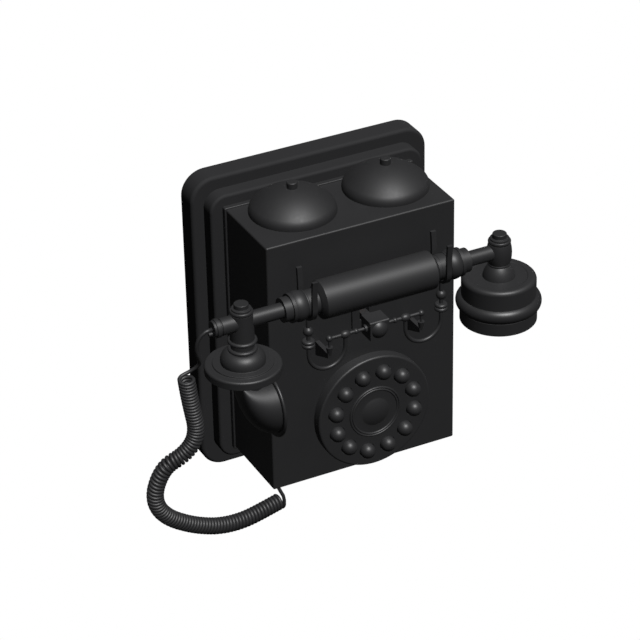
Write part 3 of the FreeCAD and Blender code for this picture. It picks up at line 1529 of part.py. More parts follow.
def rounded_run(points):
    """Straight runs joined by tangent arcs: the edges, and the radius of each arc."""
    edges, radii, start = [], [], points[0]
    for before, corner, after in zip(points, points[1:], points[2:]):
        arriving, leaving = corner - before, after - corner
        half_turn = arriving.getAngle(leaving) / 2
        reach = CORNER_SHARE * min(arriving.Length, leaving.Length)
        radius = reach / math.tan(half_turn)
        first, last = corner - unit(arriving) * reach, corner + unit(leaving) * reach
        inward = unit(unit(leaving) - unit(arriving))
        middle = corner + inward * (radius / math.cos(half_turn) - radius)
        edges += [Part.LineSegment(start, first).toShape(), Part.Arc(first, middle, last).toShape()]
        radii.append(radius)
        start = last
    edges.append(Part.LineSegment(start, points[-1]).toShape())
    return edges, radii


def arc_middle(start, way, end):
    """The middle of the arc that leaves a point along a direction and ends at another point."""
    chord = end - start
    sideways = unit(way - chord * (way.dot(chord) / chord.dot(chord)))
    return (start + end) / 2 + sideways * (chord.Length / 2 * math.tan(way.getAngle(chord) / 2))


def biarc(start, start_way, end, end_way):
    """Two arcs between two points, tangent to a direction at each of them and to one another."""
    span, along = end - start, (end - start).dot(start_way + end_way)
    bend = 2 * (1 - start_way.dot(end_way))
    reach = (math.sqrt(along**2 + bend * span.dot(span)) - along) / bend
    meeting = (start + end + (start_way - end_way) * reach) / 2
    return [
        Part.Arc(start, arc_middle(start, start_way, meeting), meeting).toShape(),
        Part.Arc(meeting, arc_middle(end, -end_way, meeting), end).toShape(),
    ]


class Coil:
    """The curled stretch of the cord, wound about a smooth axis."""

    def __init__(self, poles, radius, turns):
        knots = list(range(len(poles) - 1))
        ends = [AXIS_DEGREE + 1] + [1] * (len(knots) - 2) + [AXIS_DEGREE + 1]
        self.axis = Part.BSplineCurve()
        self.axis.buildFromPolesMultsKnots(poles, ends, knots, False, AXIS_DEGREE)
        self.length = self.axis.length()
        self.radius = radius
        self.turns = turns

    def at(self, turn):
        """The point and the direction of the wire after a number of turns."""
        spot = self.axis.parameterAtDistance(self.length * turn / self.turns, self.axis.FirstParameter)
        way = unit(self.axis.tangent(spot)[0])
        back = unit(Vector(0, 1, 0) - way * way.y)
        side = back.cross(way)
        angle = 2 * math.pi * turn
        arm = back * math.cos(angle) + side * math.sin(angle)
        around = side * math.cos(angle) - back * math.sin(angle)
        climb = self.length / (2 * math.pi * self.turns * self.radius)
        return self.axis.value(spot) + arm * self.radius, unit(around + way * climb)

    def edges(self):
        """The wire as biarcs, each over the same share of a turn."""
        steps = round(self.turns * BIARCS_PER_TURN)
        stops = [self.at(step / BIARCS_PER_TURN) for step in range(steps + 1)]
        return [edge for first, last in zip(stops, stops[1:]) for edge in biarc(*first, *last)]

    def samples(self):
        """Points along the wire, at the same places of every turn."""
        steps = round(self.turns * SAMPLES_PER_TURN)
        return [self.at(step / SAMPLES_PER_TURN)[0] for step in range(steps + 1)]


def on_route(inlet, point):
    """A hand-placed point of the cord, which stretches with the way from the case's corner to the inlet."""
    corner = Vector(case_left.value, front.value, case_bottom.value)
    stretched = [offset * now / then for offset, now, then in zip(point, inlet - corner, ROUTE_SPAN)]
    return corner + Vector(*stretched)


def least_gap(points, wire):
    """The least room between stretches of the wire that are more than half a turn apart."""
    apart = SAMPLES_PER_TURN // 2
    distances = (
        first.distanceToPoint(second)
        for number, first in enumerate(points)
        for second in points[number + apart:]
    )
    return min(distances) - wire


def make_cord(inlet_x):
    """The handset cord: a loose loop from the inlet, the coil, and a short foot up to the grommet."""
    wire = size.cord_wire.value
    radius = (size.cord_coil_diameter.value - wire) / 2
    inlet = Vector(inlet_x.value, cradle_y.value, handset_z.value)
    coil = Coil([on_route(inlet, point) for point in COIL_AXIS], radius, SIZES["cord_coil_turns"])
    lead, coil_lead = size.cord_lead.value, size.coil_lead.value
    (first, first_way), (last, last_way) = coil.at(0), coil.at(coil.turns)
    grommet = Vector((case_left + size.grommet_inset).value, (front + size.grommet_setback).value,
                     (case_bottom - size.grommet_lip).value)
    loop_points = [inlet, inlet - Vector(lead, 0, 0), *[on_route(inlet, point) for point in CORD_LOOP],
                   first - first_way * coil_lead, first]
    foot_points = [last, last + last_way * coil_lead, grommet - Vector(0, 0, lead), grommet]
    (loop, loop_radii), (foot, foot_radii) = rounded_run(loop_points), rounded_run(foot_points)
    path = Part.Wire([*loop, *coil.edges(), *foot])
    profile = Part.Wire(Part.Circle(inlet, Vector(-1, 0, 0), wire / 2).toShape())
    cord = doc.addObject("Part::Feature", "handset_cord")
    cord.Shape = path.makePipeShell([profile], True, False)
    node(cord)
    loose = [point for edge in (*loop, *foot) for point in edge.discretize(Distance=wire)]
    print("cord corner radii:", [round(radius, 1) for radius in loop_radii + foot_radii])
    print(f"cord length {path.Length:.0f} mm, coil axis {coil.length:.1f} mm")
    print(f"cord least gap to itself {least_gap(coil.samples(), wire):.2f} mm,"
          f" loose stretches {least_gap(loose, wire):.2f} mm")


def main():
    """Build every piece, check it and write its file."""
    ringer_rooms, slots = make_ringer()
    screw_rooms = make_wall_parts(ringer_rooms)
    openings = [*slots, *make_dial(), *make_gongs(), make_cradle(), make_grommet()]
    make_case(screw_rooms, openings)
    make_hook_switch()
    make_cord(make_handset())
    doc.recompute()
    faults = [item.Name for item in doc.Objects if {"Invalid", "Error"} & set(item.State)]
    for name, piece in nodes.items():
        if piece.Shape.isNull() or not piece.Shape.isValid() or not piece.Shape.Solids:
            faults.append(name)
    if faults:
        raise RuntimeError(f"failed: {faults}")
    os.makedirs("parts", exist_ok=True)
    for name, piece in nodes.items():
        piece.Shape.exportStep(f"parts/{name}.step")
        print(f"{name}: {len(piece.Shape.Solids)} solids, {piece.Shape.Volume:.1f} mm3")


main()
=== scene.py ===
import json
import logging
import math
from dataclasses import dataclass
from enum import Enum
from typing import Any, Sequence

import bmesh
import bpy
from mathutils import Euler, Matrix, Vector

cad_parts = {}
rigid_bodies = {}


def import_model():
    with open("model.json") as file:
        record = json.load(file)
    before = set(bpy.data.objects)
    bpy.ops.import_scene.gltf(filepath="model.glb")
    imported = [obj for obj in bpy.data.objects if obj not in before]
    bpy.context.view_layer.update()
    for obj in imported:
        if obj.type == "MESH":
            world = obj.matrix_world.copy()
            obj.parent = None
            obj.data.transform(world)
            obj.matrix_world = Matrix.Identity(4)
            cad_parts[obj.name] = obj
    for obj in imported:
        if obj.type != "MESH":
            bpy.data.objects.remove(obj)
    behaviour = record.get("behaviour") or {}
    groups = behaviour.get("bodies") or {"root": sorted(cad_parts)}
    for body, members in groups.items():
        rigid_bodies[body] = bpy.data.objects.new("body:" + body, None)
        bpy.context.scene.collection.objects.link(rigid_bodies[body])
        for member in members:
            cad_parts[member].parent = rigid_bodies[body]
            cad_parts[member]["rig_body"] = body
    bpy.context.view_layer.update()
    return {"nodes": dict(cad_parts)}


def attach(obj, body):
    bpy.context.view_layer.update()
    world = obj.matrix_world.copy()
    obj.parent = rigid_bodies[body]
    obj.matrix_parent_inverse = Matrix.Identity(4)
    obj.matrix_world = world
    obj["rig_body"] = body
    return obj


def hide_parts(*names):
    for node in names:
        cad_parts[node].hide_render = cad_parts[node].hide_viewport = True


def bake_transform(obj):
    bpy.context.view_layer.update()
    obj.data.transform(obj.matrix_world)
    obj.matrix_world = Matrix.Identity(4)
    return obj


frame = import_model()

# A wall telephone with push keys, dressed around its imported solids. Sizes are in millimetres and the
# meshes in metres: +Z is up, the front faces -Y, and the origin is the middle of the backboard's back.
MM = 0.001
TO_WALL = Vector((0, 1, 0))
WHITE = "#ffffff"
log = logging.getLogger("wall_telephone")

Point = tuple[float, float, float]


def metres(point: Sequence[float]) -> Vector:
    """A point in millimetres as a vector in metres."""
    return Vector(point) * MM


def per_metre(spacing_mm: float) -> float:
    """How often something repeats in a metre."""
    return 1 / (spacing_mm * MM)


def linear(code: str) -> tuple[float, float, float, float]:
    """An sRGB hex colour as the linear colour that a shader takes.

    Args:
        code: Six hex digits after a hash sign.

    Returns:
        Red, green, blue and an alpha of one.
    """
    shares = [int(code[start:start + 2], 16) / 255 for start in (1, 3, 5)]
    red, green, blue = [
        share / 12.92 if share <= 0.04045 else ((share + 0.055) / 1.055) ** 2.4 for share in shares
    ]
    return red, green, blue, 1.0


def add(
    tree: bpy.types.NodeTree, kind: str, inputs: dict[Any, Any] | None = None, **settings: Any
) -> bpy.types.Node:
    """Add a node with its settings, values and links.

    Args:
        tree: The node tree that gets the node.
        kind: The node's type.
        inputs: Values, or the sockets that feed them, by the input's name or number. A list of
            sockets feeds an input that takes several.
        **settings: The node's own properties.

    Returns:
        The new node.
    """
    node = tree.nodes.new(kind)
    for name, value in settings.items():
        setattr(node, name, value)
    for name, value in (inputs or {}).items():
        feeds = value if isinstance(value, list) else [value]
        for feed in feeds:
            if isinstance(feed, bpy.types.NodeSocket):
                tree.links.new(feed, node.inputs[name])
            else:
                node.inputs[name].default_value = feed
    return node


def plain_mesh(holder: bpy.types.Object) -> bpy.types.Mesh:
    """The evaluated mesh of an object that is needed for nothing else.

    Args:
        holder: The object, which is removed with its data.

    Returns:
        The mesh, with what the object's modifiers and curve settings give.
    """
    bpy.context.scene.collection.objects.link(holder)
    graph = bpy.context.evaluated_depsgraph_get()
    mesh = bpy.data.meshes.new_from_object(holder.evaluated_get(graph))
    holder.modifiers.clear()
    bpy.data.batch_remove([holder, holder.data])
    return mesh


class Surface(Enum):
    """How a surface was made, which sets the pattern that it carries."""

    MOULDED = "moulded"
    SPRAYED = "sprayed"
    MACHINED = "machined"
    WOUND = "wound"
    ETCHED = "etched"


# Slow drift of colour over a surface, such as the flow of the plastic leaves on a moulding
CLOUD_MM = 45.0
CLOUD_DETAIL = 3.0
# Fine structure of a grain: a moulding's spark texture is rougher than lacquer
GRAIN_DETAIL = {Surface.MOULDED: 4.0, Surface.SPRAYED: 1.0}
# How far lines stray from straight: tool marks do, wound wire doesn't
LINE_WANDER = {Surface.MACHINED: 0.6, Surface.WOUND: 0.0}
LINE_DETAIL = 2.0
# Divides a wave pattern's scale, so that its lines lie a little under two grain widths apart
LINE_DIVISOR = 6.0


@dataclass(frozen=True)
class Finish:
    """One real material: its colours, its gloss and the pattern of its surface.

    Attributes:
        name: The material's name.
        slot: The record's material slot that it belongs to; not used.
        surface: How the surface was made.
        colour: One end of the slow drift of colour.
        tone: The other end.
        roughness: The middle of the roughness.
        roughness_spread: How far the pattern takes the roughness up and down.
        grain_mm: The width of the pattern.
        relief_mm: The height of the pattern.
        metallic: One for a bare metal.
        specular: The strength of the highlight, where a half is plain plastic or lacquer.
    """

    name: str
    slot: str
    surface: Surface
    colour: str
    tone: str
    roughness: float
    roughness_spread: float
    grain_mm: float
    relief_mm: float
    metallic: float = 0.0
    specular: float = 0.5

    def material(self) -> bpy.types.Material:
        """The finish as a material, made once and then shared.

        Returns:
            The material.
        """
        made = bpy.data.materials.get(self.name)
        if made:
            return made
        made = bpy.data.materials.new(self.name)
        made.use_nodes = True
        tree = made.node_tree
        shader = tree.nodes["Principled BSDF"]
        shader.inputs["Metallic"].default_value = self.metallic
        shader.inputs["Specular IOR Level"].default_value = self.specular
        place = add(tree, "ShaderNodeTexCoord").outputs["Object"]
        height = self.pattern(tree, place)
        clouds = add(tree, "ShaderNodeTexNoise", {
            "Vector": place,
            "Scale": per_metre(CLOUD_MM),
            "Detail": CLOUD_DETAIL,
        })
        colours = add(tree, "ShaderNodeMix", {
            "Factor": clouds.outputs["Fac"],
            "A": linear(self.colour),
            "B": linear(self.tone),
        }, data_type="RGBA")
        gloss = add(tree, "ShaderNodeMapRange", {
            "Value": height,
            "To Min": self.roughness - self.roughness_spread,
            "To Max": self.roughness + self.roughness_spread,
        })
        relief = add(tree, "ShaderNodeBump", {"Height": height, "Distance": self.relief_mm * MM})
        tree.links.new(colours.outputs["Result"], shader.inputs["Base Color"])
        tree.links.new(gloss.outputs["Result"], shader.inputs["Roughness"])
        tree.links.new(relief.outputs["Normal"], shader.inputs["Normal"])
        return made

    def pattern(self, tree: bpy.types.NodeTree, place: bpy.types.NodeSocket) -> bpy.types.NodeSocket:
        """The height pattern of the surface.

        Args:
            tree: The material's node tree.
            place: The coordinates that the pattern follows.

        Returns:
            The socket that gives the height, from zero to one.
        """
        scale = per_metre(self.grain_mm)
        if self.surface in LINE_WANDER:
            lines = add(tree, "ShaderNodeTexWave", {
                "Vector": place,
                "Scale": scale / LINE_DIVISOR,
                "Distortion": LINE_WANDER[self.surface],
                "Detail": LINE_DETAIL,
            }, bands_direction="Z")
            return lines.outputs["Fac"]
        if self.surface is Surface.ETCHED:
            tracks = add(tree, "ShaderNodeTexBrick", {"Vector": place, "Scale": scale})
            return tracks.outputs["Fac"]
        grain = add(tree, "ShaderNodeTexNoise", {
            "Vector": place,
            "Scale": scale,
            "Detail": GRAIN_DETAIL[self.surface],
        })
        return grain.outputs["Fac"]


# The patterns are drawn coarser than the real ones, so that they show.

# Case and handset: spark-textured black ABS, so the sheen is soft and slightly broken
SATIN_ABS = Finish(
    "satin_black_abs_moulding", "satin_black_plastic", Surface.MOULDED, "#242425", "#29292a",
    roughness=0.50, roughness_spread=0.04, grain_mm=0.9, relief_mm=0.010,
)
# Horn and receiver band: the same plastic, buffed, with a brighter highlight
BUFFED_ABS = Finish(
    "buffed_black_abs", "satin_black_plastic", Surface.MOULDED, "#222223", "#272728",
    roughness=0.43, roughness_spread=0.03, grain_mm=0.9, relief_mm=0.008,
)
# Backboard and panel: coarser, fully matt black ABS, whose edges hardly catch the light
MATT_ABS = Finish(
    "matt_black_abs_board", "satin_black_plastic", Surface.MOULDED, "#272728", "#2b2b2c",
    roughness=0.75, roughness_spread=0.04, grain_mm=1.1, relief_mm=0.010, specular=0.12,
)
# Grip: black ABS with a finer, deeper grain for the hand
GRIP_ABS = Finish(
    "fine_grained_black_grip", "satin_black_plastic", Surface.MOULDED, "#242425", "#29292a",
    roughness=0.50, roughness_spread=0.04, grain_mm=0.7, relief_mm=0.012,
)
# Gongs: matt black lacquer sprayed on metal, a broad dull sheen with a faint orange peel
MATT_LACQUER = Finish(
    "matt_black_lacquered_gong", "black_lacquered_metal", Surface.SPRAYED, "#212122", "#262627",
    roughness=0.56, roughness_spread=0.04, grain_mm=2.4, relief_mm=0.010,
)
# Cradle and handset tube: satin black lacquer on drawn rod and cast metal
BLACK_LACQUER = Finish(
    "satin_black_lacquered_metal", "black_lacquered_metal", Surface.SPRAYED, "#252526", "#2a2a2b",
    roughness=0.46, roughness_spread=0.04, grain_mm=2.4, relief_mm=0.010,
)
# Keys: black mouldings under a thin satin lacquer, so their round tops are smooth
KEY_ABS = Finish(
    "smooth_black_key_moulding", "gloss_black_key", Surface.SPRAYED, "#252526", "#2a2a2b",
    roughness=0.48, roughness_spread=0.03, grain_mm=3.0, relief_mm=0.006,
)
# Cord, mat and grommet: soft black rubber, dull and finely grained
BLACK_RUBBER = Finish(
    "black_cord_rubber", "black_rubber", Surface.MOULDED, "#232324", "#29292a",
    roughness=0.50, roughness_spread=0.06, grain_mm=0.6, relief_mm=0.012,
)
# Screws: bright zinc plate over turned steel, with fine tool marks
ZINC_SCREW = Finish(
    "zinc_plated_screw", "zinc_screw", Surface.MACHINED, "#b9bab6", "#a2a4a6",
    roughness=0.32, roughness_spread=0.08, grain_mm=0.5, relief_mm=0.004, metallic=1.0,
)
# Ringer iron and levers: rolled steel with drawn lines
ROLLED_STEEL = Finish(
    "rolled_ringer_steel", "ringer_steel", Surface.MACHINED, "#8f9194", "#7c7e82",
    roughness=0.38, roughness_spread=0.10, grain_mm=0.8, relief_mm=0.006, metallic=1.0,
)
# Coils: varnished copper wire, which catches the light in fine lines
COPPER_WIRE = Finish(
    "varnished_copper_winding", "copper_winding", Surface.WOUND, "#9c5a2e", "#7d4423",
    roughness=0.30, roughness_spread=0.05, grain_mm=0.8, relief_mm=0.010, metallic=1.0,
)
# Boards: green solder mask over copper tracks
BOARD_MASK = Finish(
    "green_board_laminate", "board_laminate", Surface.ETCHED, "#1f4f2c", "#2a6238",
    roughness=0.35, roughness_spread=0.10, grain_mm=6.0, relief_mm=0.030,
)
# Switch and capsules: dull grey moulding
GREY_MOULDING = Finish(
    "grey_insulator_moulding", "grey_plastic", Surface.MOULDED, "#6d6d6e", "#757576",
    roughness=0.50, roughness_spread=0.05, grain_mm=1.2, relief_mm=0.010,
)

# Edges that turn by less than this are shaded smooth
SMOOTH_BELOW = math.radians(15)
# Edges that turn by more than this are broken
SHARP_ABOVE = math.radians(32)
EDGE_SEGMENTS = 2
# A half makes a broken edge round
EDGE_PROFILE = 0.5
# Faces that differ by less than this are one flat face
FLAT_WITHIN = math.radians(0.4)
# Corners that lie closer than this, in metres, are one corner
SAME_PLACE = 1e-6


def broken_edges(source: bpy.types.Mesh, name: str, edge_mm: float) -> bpy.types.Mesh:
    """A merged copy of a mesh whose sharp edges are broken.

    Args:
        source: The mesh, which is left as it is.
        name: The copy's name.
        edge_mm: The width of a broken edge.

    Returns:
        The copy, shaded smooth between its edges.
    """
    work = bmesh.new()
    work.from_mesh(source)
    bmesh.ops.remove_doubles(work, verts=work.verts, dist=SAME_PLACE)
    bmesh.ops.dissolve_limit(work, angle_limit=FLAT_WITHIN, verts=work.verts, edges=work.edges)
    seams = [edge for edge in work.edges if len(edge.link_faces) == 2]
    sharp = [edge for edge in seams if edge.calc_face_angle() > SHARP_ABOVE]
    bmesh.ops.bevel(work, geom=sharp, offset=edge_mm * MM, segments=EDGE_SEGMENTS, profile=EDGE_PROFILE,
                    affect="EDGES", clamp_overlap=True)
    # Faces of more than four corners are cut into triangles
    bmesh.ops.triangulate(work, faces=[face for face in work.faces if len(face.verts) > 4])
    mesh = bpy.data.meshes.new(f"{name}_rounded")
    work.to_mesh(mesh)
    work.free()
    mesh.shade_smooth()
    mesh.set_sharp_from_angle(angle=SMOOTH_BELOW)
    holder = bpy.data.objects.new(name, mesh)
    # Flat faces keep their own direction right up to their rounded edges
    holder.modifiers.new("even_shading", "WEIGHTED_NORMAL").keep_sharp = True
    return plain_mesh(holder)


def finished(mesh: bpy.types.Mesh, name: str, finish: Finish) -> bpy.types.Object:
    """A mesh as a piece of the scene with its finish.

    Args:
        mesh: The mesh, with its place in it.
        name: The piece's name.
        finish: The material that it is made of.

    Returns:
        The new object, at the origin.
    """
    mesh.materials.clear()
    mesh.materials.append(finish.material())
    piece = bpy.data.objects.new(name, mesh)
    bpy.context.scene.collection.objects.link(piece)
    return piece


@dataclass
class SubAssembly:
    """Solids that belong together, with how far their sharp edges are broken."""

    edge_mm: float = 0.3

    def stand_in(self, node: str, mesh: bpy.types.Mesh, finish: Finish) -> None:
        """Put a mesh in a solid's stead, on the solid's body.

        Args:
            node: The solid's name.
            mesh: What stands for it.
            finish: What it is made of.
        """
        piece = finished(mesh, f"{node}_dressed", finish)
        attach(piece, frame["nodes"][node]["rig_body"])
        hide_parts(node)
        log.info("%s in %s: %d faces", piece.name, finish.name, len(mesh.polygons))

    def soften(self, finish: Finish, *nodes: str) -> None:
        """Put copies with broken edges in the stead of solids.

        Args:
            finish: What they are made of.
            *nodes: The solids' names.
        """
        for node in nodes:
            mesh = broken_edges(frame["nodes"][node].data, f"{node}_dressed", self.edge_mm)
            self.stand_in(node, mesh, finish)

    def colour(self, finish: Finish, *nodes: str) -> None:
        """Keep solids as they are and give them a finish.

        Args:
            finish: What they are made of.
            *nodes: The solids' names.
        """
        for node in nodes:
            for material_slot in frame["nodes"][node].material_slots:
                material_slot.material = finish.material()
            log.info("%s in %s", node, finish.name)


def tree_with(name: str, sizes: dict[str, float]) -> tuple[bpy.types.NodeTree, Any]:
    """A new geometry tree that takes points and named sizes.

    Args:
        name: The tree's name.
        sizes: The sizes by their names.

    Returns:
        The tree, and the outputs of its input node.
    """
    tree = bpy.data.node_groups.new(name, "GeometryNodeTree")
    tree.interface.new_socket("Places", in_out="INPUT", socket_type="NodeSocketGeometry")
    for size_name in sizes:
        tree.interface.new_socket(size_name, in_out="INPUT", socket_type="NodeSocketFloat")
    tree.interface.new_socket("Pieces", in_out="OUTPUT", socket_type="NodeSocketGeometry")
    return tree, add(tree, "NodeGroupInput").outputs


def set_on_places(
    tree: bpy.types.NodeTree,
    places: bpy.types.NodeSocket,
    shape: bpy.types.NodeSocket,
    turn: Euler,
    finish: Finish,
) -> None:
    """End a geometry tree: the shape on every point, made real and given its material.

    Args:
        tree: The tree.
        places: The points.
        shape: What stands on each of them.
        turn: How it is turned there.
        finish: What it is made of.
    """
    copies = add(tree, "GeometryNodeInstanceOnPoints", {
        "Points": places,
        "Instance": shape,
        "Rotation": turn,
    })
    real = add(tree, "GeometryNodeRealizeInstances", {"Geometry": copies.outputs[0]})
    dressed = add(tree, "GeometryNodeSetMaterial", {
        "Geometry": real.outputs[0],
        "Material": finish.material(),
    })
    add(tree, "NodeGroupOutput", {0: dressed.outputs[0]})


def grown(tree: bpy.types.NodeTree, places: Sequence[Vector], sizes: dict[str, float]) -> bpy.types.Mesh:
    """The plain mesh that a geometry tree makes on a set of points.

    Args:
        tree: The tree, whose first input takes the points.
        places: The points.
        sizes: The values of the tree's other inputs by their names.

    Returns:
        The mesh.
    """
    points = bpy.data.meshes.new(f"{tree.name}_places")
    points.from_pydata(places, [], [])
    holder = bpy.data.objects.new(f"{tree.name}_holder", points)
    modifier = holder.modifiers.new(tree.name, "NODES")
    modifier.node_group = tree
    for socket in tree.interface.items_tree:
        if socket.in_out == "INPUT" and socket.name in sizes:
            modifier[socket.identifier] = sizes[socket.name]
    return plain_mesh(holder)


@dataclass
class CrossHeadScrews:
    """Cheese-head screws with a cross recess, of which a geometry tree sets one on every place."""

    head_radius_mm: float = 3.6
    head_height_mm: float = 2.2
    shank_radius_mm: float = 1.8
    shank_length_mm: float = 20.0
    recess_length_mm: float = 4.5
    recess_width_mm: float = 1.1
    recess_depth_mm: float = 1.2
    corners: int = 40

    def sizes(self) -> dict[str, float]:
        """The inputs of the geometry tree, with the top of the head at zero.

        Returns:
            The sizes in metres by their names.
        """
        sizes_mm = {
            "Head radius": self.head_radius_mm,
            "Head height": self.head_height_mm,
            "Head middle": -self.head_height_mm / 2,
            "Shank radius": self.shank_radius_mm,
            "Shank height": self.shank_length_mm,
            "Shank middle": -self.head_height_mm - self.shank_length_mm / 2,
            "Recess length": self.recess_length_mm,
            "Recess width": self.recess_width_mm,
            # The cutter's middle lies on the top of the head, so half of it cuts
            "Recess height": self.recess_depth_mm * 2,
        }
        return {name: size * MM for name, size in sizes_mm.items()}

    def mesh(self, places: Sequence[Vector], turn: Euler) -> bpy.types.Mesh:
        """All screws as one mesh.

        Args:
            places: The middles of the heads' tops.
            turn: The turn that takes up to the way that the heads face.

        Returns:
            The mesh.
        """
        tree, given = tree_with("cross_head_screws", self.sizes())
        rods = []
        for part in ("Head", "Shank"):
            rod = add(tree, "GeometryNodeMeshCylinder", {
                "Vertices": self.corners,
                "Radius": given[f"{part} radius"],
                "Depth": given[f"{part} height"],
            })
            middle = add(tree, "ShaderNodeCombineXYZ", {"Z": given[f"{part} middle"]})
            moved = add(tree, "GeometryNodeTransform", {
                "Geometry": rod.outputs["Mesh"],
                "Translation": middle.outputs[0],
            })
            rods.append(moved.outputs[0])
        head, shank = rods
        arms = []
        for long_side, short_side in (("X", "Y"), ("Y", "X")):
            sides = add(tree, "ShaderNodeCombineXYZ", {
                long_side: given["Recess length"],
                short_side: given["Recess width"],
                "Z": given["Recess height"],
            })
            arms.append(add(tree, "GeometryNodeMeshCube", {"Size": sides.outputs[0]}).outputs["Mesh"])
        recessed = add(tree, "GeometryNodeMeshBoolean", {
            "Mesh 1": head,
            "Mesh 2": arms,
        }, operation="DIFFERENCE")
        whole = add(tree, "GeometryNodeJoinGeometry", {"Geometry": [recessed.outputs["Mesh"], shank]})
        set_on_places(tree, given["Places"], whole.outputs[0], turn, ZINC_SCREW)
        return grown(tree, places, self.sizes())


@dataclass
class WallParts(SubAssembly):
    """Backboard and mounting panel, the screws between them, and the circuit board."""

    edge_mm: float = 0.4
    screw_edge_mm: float = 0.12
    screw_x_mm: float = 72.0
    screw_z_mm: float = 62.0
    panel_rise_mm: float = 1.2
    screw_recess_mm: float = 0.6

    def build(self) -> None:
        """Make the boards and their screws, which face the wall."""
        self.soften(MATT_ABS, "backboard", "mounting_panel")
        self.colour(BOARD_MASK, "circuit_board")
        places = [
            metres((x, -self.screw_recess_mm, self.panel_rise_mm + z))
            for x in (-self.screw_x_mm, self.screw_x_mm) for z in (-self.screw_z_mm, self.screw_z_mm)
        ]
        screws = CrossHeadScrews().mesh(places, Euler((-math.pi / 2, 0, 0)))
        rounded = broken_edges(screws, "panel_screws_dressed", self.screw_edge_mm)
        self.stand_in("panel_screws", rounded, ZINC_SCREW)


@dataclass
class Case(SubAssembly):
    """The case with its screws, and the grommet that its cord leaves through."""

    def build(self) -> None:
        """Make the case."""
        self.soften(SATIN_ABS, "case_shell")
        self.soften(BLACK_RUBBER, "cord_grommet")
        self.colour(ZINC_SCREW, "case_screws")


@dataclass
class Dial(SubAssembly):
    """The dial with its ring of push keys."""

    key_count: int = 12

    def build(self) -> None:
        """Make the dial, its keys, and what lies behind them."""
        keys = [f"key_{number:02d}" for number in range(1, self.key_count + 1)]
        self.soften(SATIN_ABS, "dial_face", "centre_cap", "dial_cup")
        self.soften(KEY_ABS, *keys)
        self.colour(BLACK_RUBBER, "key_mat")
        self.colour(BOARD_MASK, "keypad_board")
        self.colour(ZINC_SCREW, "dial_screws")


@dataclass
class Ringer(SubAssembly):
    """The two gongs on the roof, and the ringer below them."""

    edge_mm: float = 0.25

    def build(self) -> None:
        """Make the gongs, the coils and the ringer's iron."""
        self.soften(MATT_LACQUER, "gong_left", "gong_right", "gong_posts", "gong_nuts")
        self.colour(ROLLED_STEEL, "ringer_frame", "ringer_armature", "clapper")
        self.colour(ZINC_SCREW, "ringer_screws")
        self.colour(COPPER_WIRE, "ringer_coils")


@dataclass
class Cradle(SubAssembly):
    """The fork that the handset lies in, and the hook switch that it works."""

    edge_mm: float = 0.25

    def build(self) -> None:
        """Make the cradle and the switch behind it."""
        self.soften(BLACK_LACQUER, "cradle_block", "cradle_rods", "cradle_arm_left", "cradle_arm_right",
                    "cradle_bracket_left", "cradle_bracket_right", "cradle_plate")
        self.colour(GREY_MOULDING, "hook_switch")
        self.colour(ROLLED_STEEL, "hook_lever", "hook_spring")


@dataclass
class Handset(SubAssembly):
    """The bar handset with its horn and its receiver."""

    edge_mm: float = 0.35

    def build(self) -> None:
        """Make the handset and its capsules."""
        self.soften(BLACK_LACQUER, "handset_tube")
        self.soften(GRIP_ABS, "handset_grip")
        self.soften(SATIN_ABS, "handset_collars", "mouth_stem", "ear_stem", "stem_caps",
                    "cord_inlet", "mouth_flange", "receiver_cup", "ear_cap")
        self.soften(BUFFED_ABS, "mouth_horn", "receiver_band")
        self.colour(GREY_MOULDING, "transmitter_capsule", "receiver_capsule")


# A low order keeps a curve close to the points that steer it
ROUTE_ORDER = 3


def smooth_line(points: Sequence[Vector], steps: int) -> list[Vector]:
    """Points along the smooth curve that a list of control points steers.

    Args:
        points: The control points.
        steps: How many points are read for each of them.

    Returns:
        The points in order, ends included.
    """
    curve = bpy.data.curves.new("route", "CURVE")
    curve.dimensions = "3D"
    spline = curve.splines.new("NURBS")
    spline.points.add(len(points) - 1)
    for knot, point in zip(spline.points, points):
        knot.co = (*point, 1.0)
    spline.order_u = ROUTE_ORDER
    spline.use_endpoint_u = True
    spline.resolution_u = steps
    mesh = plain_mesh(bpy.data.objects.new("route", curve))
    line = [vertex.co.copy() for vertex in mesh.vertices]
    bpy.data.meshes.remove(mesh)
    return line


def tube(path: Sequence[Vector], radius: float, sides: int) -> bpy.types.Mesh:
    """A closed tube along a path, whose rings are carried along it without twisting.

    Args:
        path: The points of its centre line.
        radius: The tube's radius in metres.
        sides: The number of corners in each ring.

    Returns:
        The tube's mesh.
    """
    work = bmesh.new()
    rings = []
    angles = [2 * math.pi * corner / sides for corner in range(sides)]
    arm = Vector((0, 0, 1))
    for number, centre in enumerate(path):
        before, after = path[max(number - 1, 0)], path[min(number + 1, len(path) - 1)]
        way = (after - before).normalized()
        arm = (arm - way * arm.dot(way)).normalized()
        other = way.cross(arm)
        spokes = [arm * math.cos(angle) + other * math.sin(angle) for angle in angles]
        rings.append([work.verts.new(centre + spoke * radius) for spoke in spokes])
    for ring, following in zip(rings, rings[1:]):
        for corner in range(sides):
            beside = (corner + 1) % sides
            work.faces.new((ring[corner], ring[beside], following[beside], following[corner]))
    work.faces.new(reversed(rings[0]))
    work.faces.new(rings[-1])
    mesh = bpy.data.meshes.new("tube")
    work.to_mesh(mesh)
    work.free()
    mesh.shade_smooth()
    return mesh


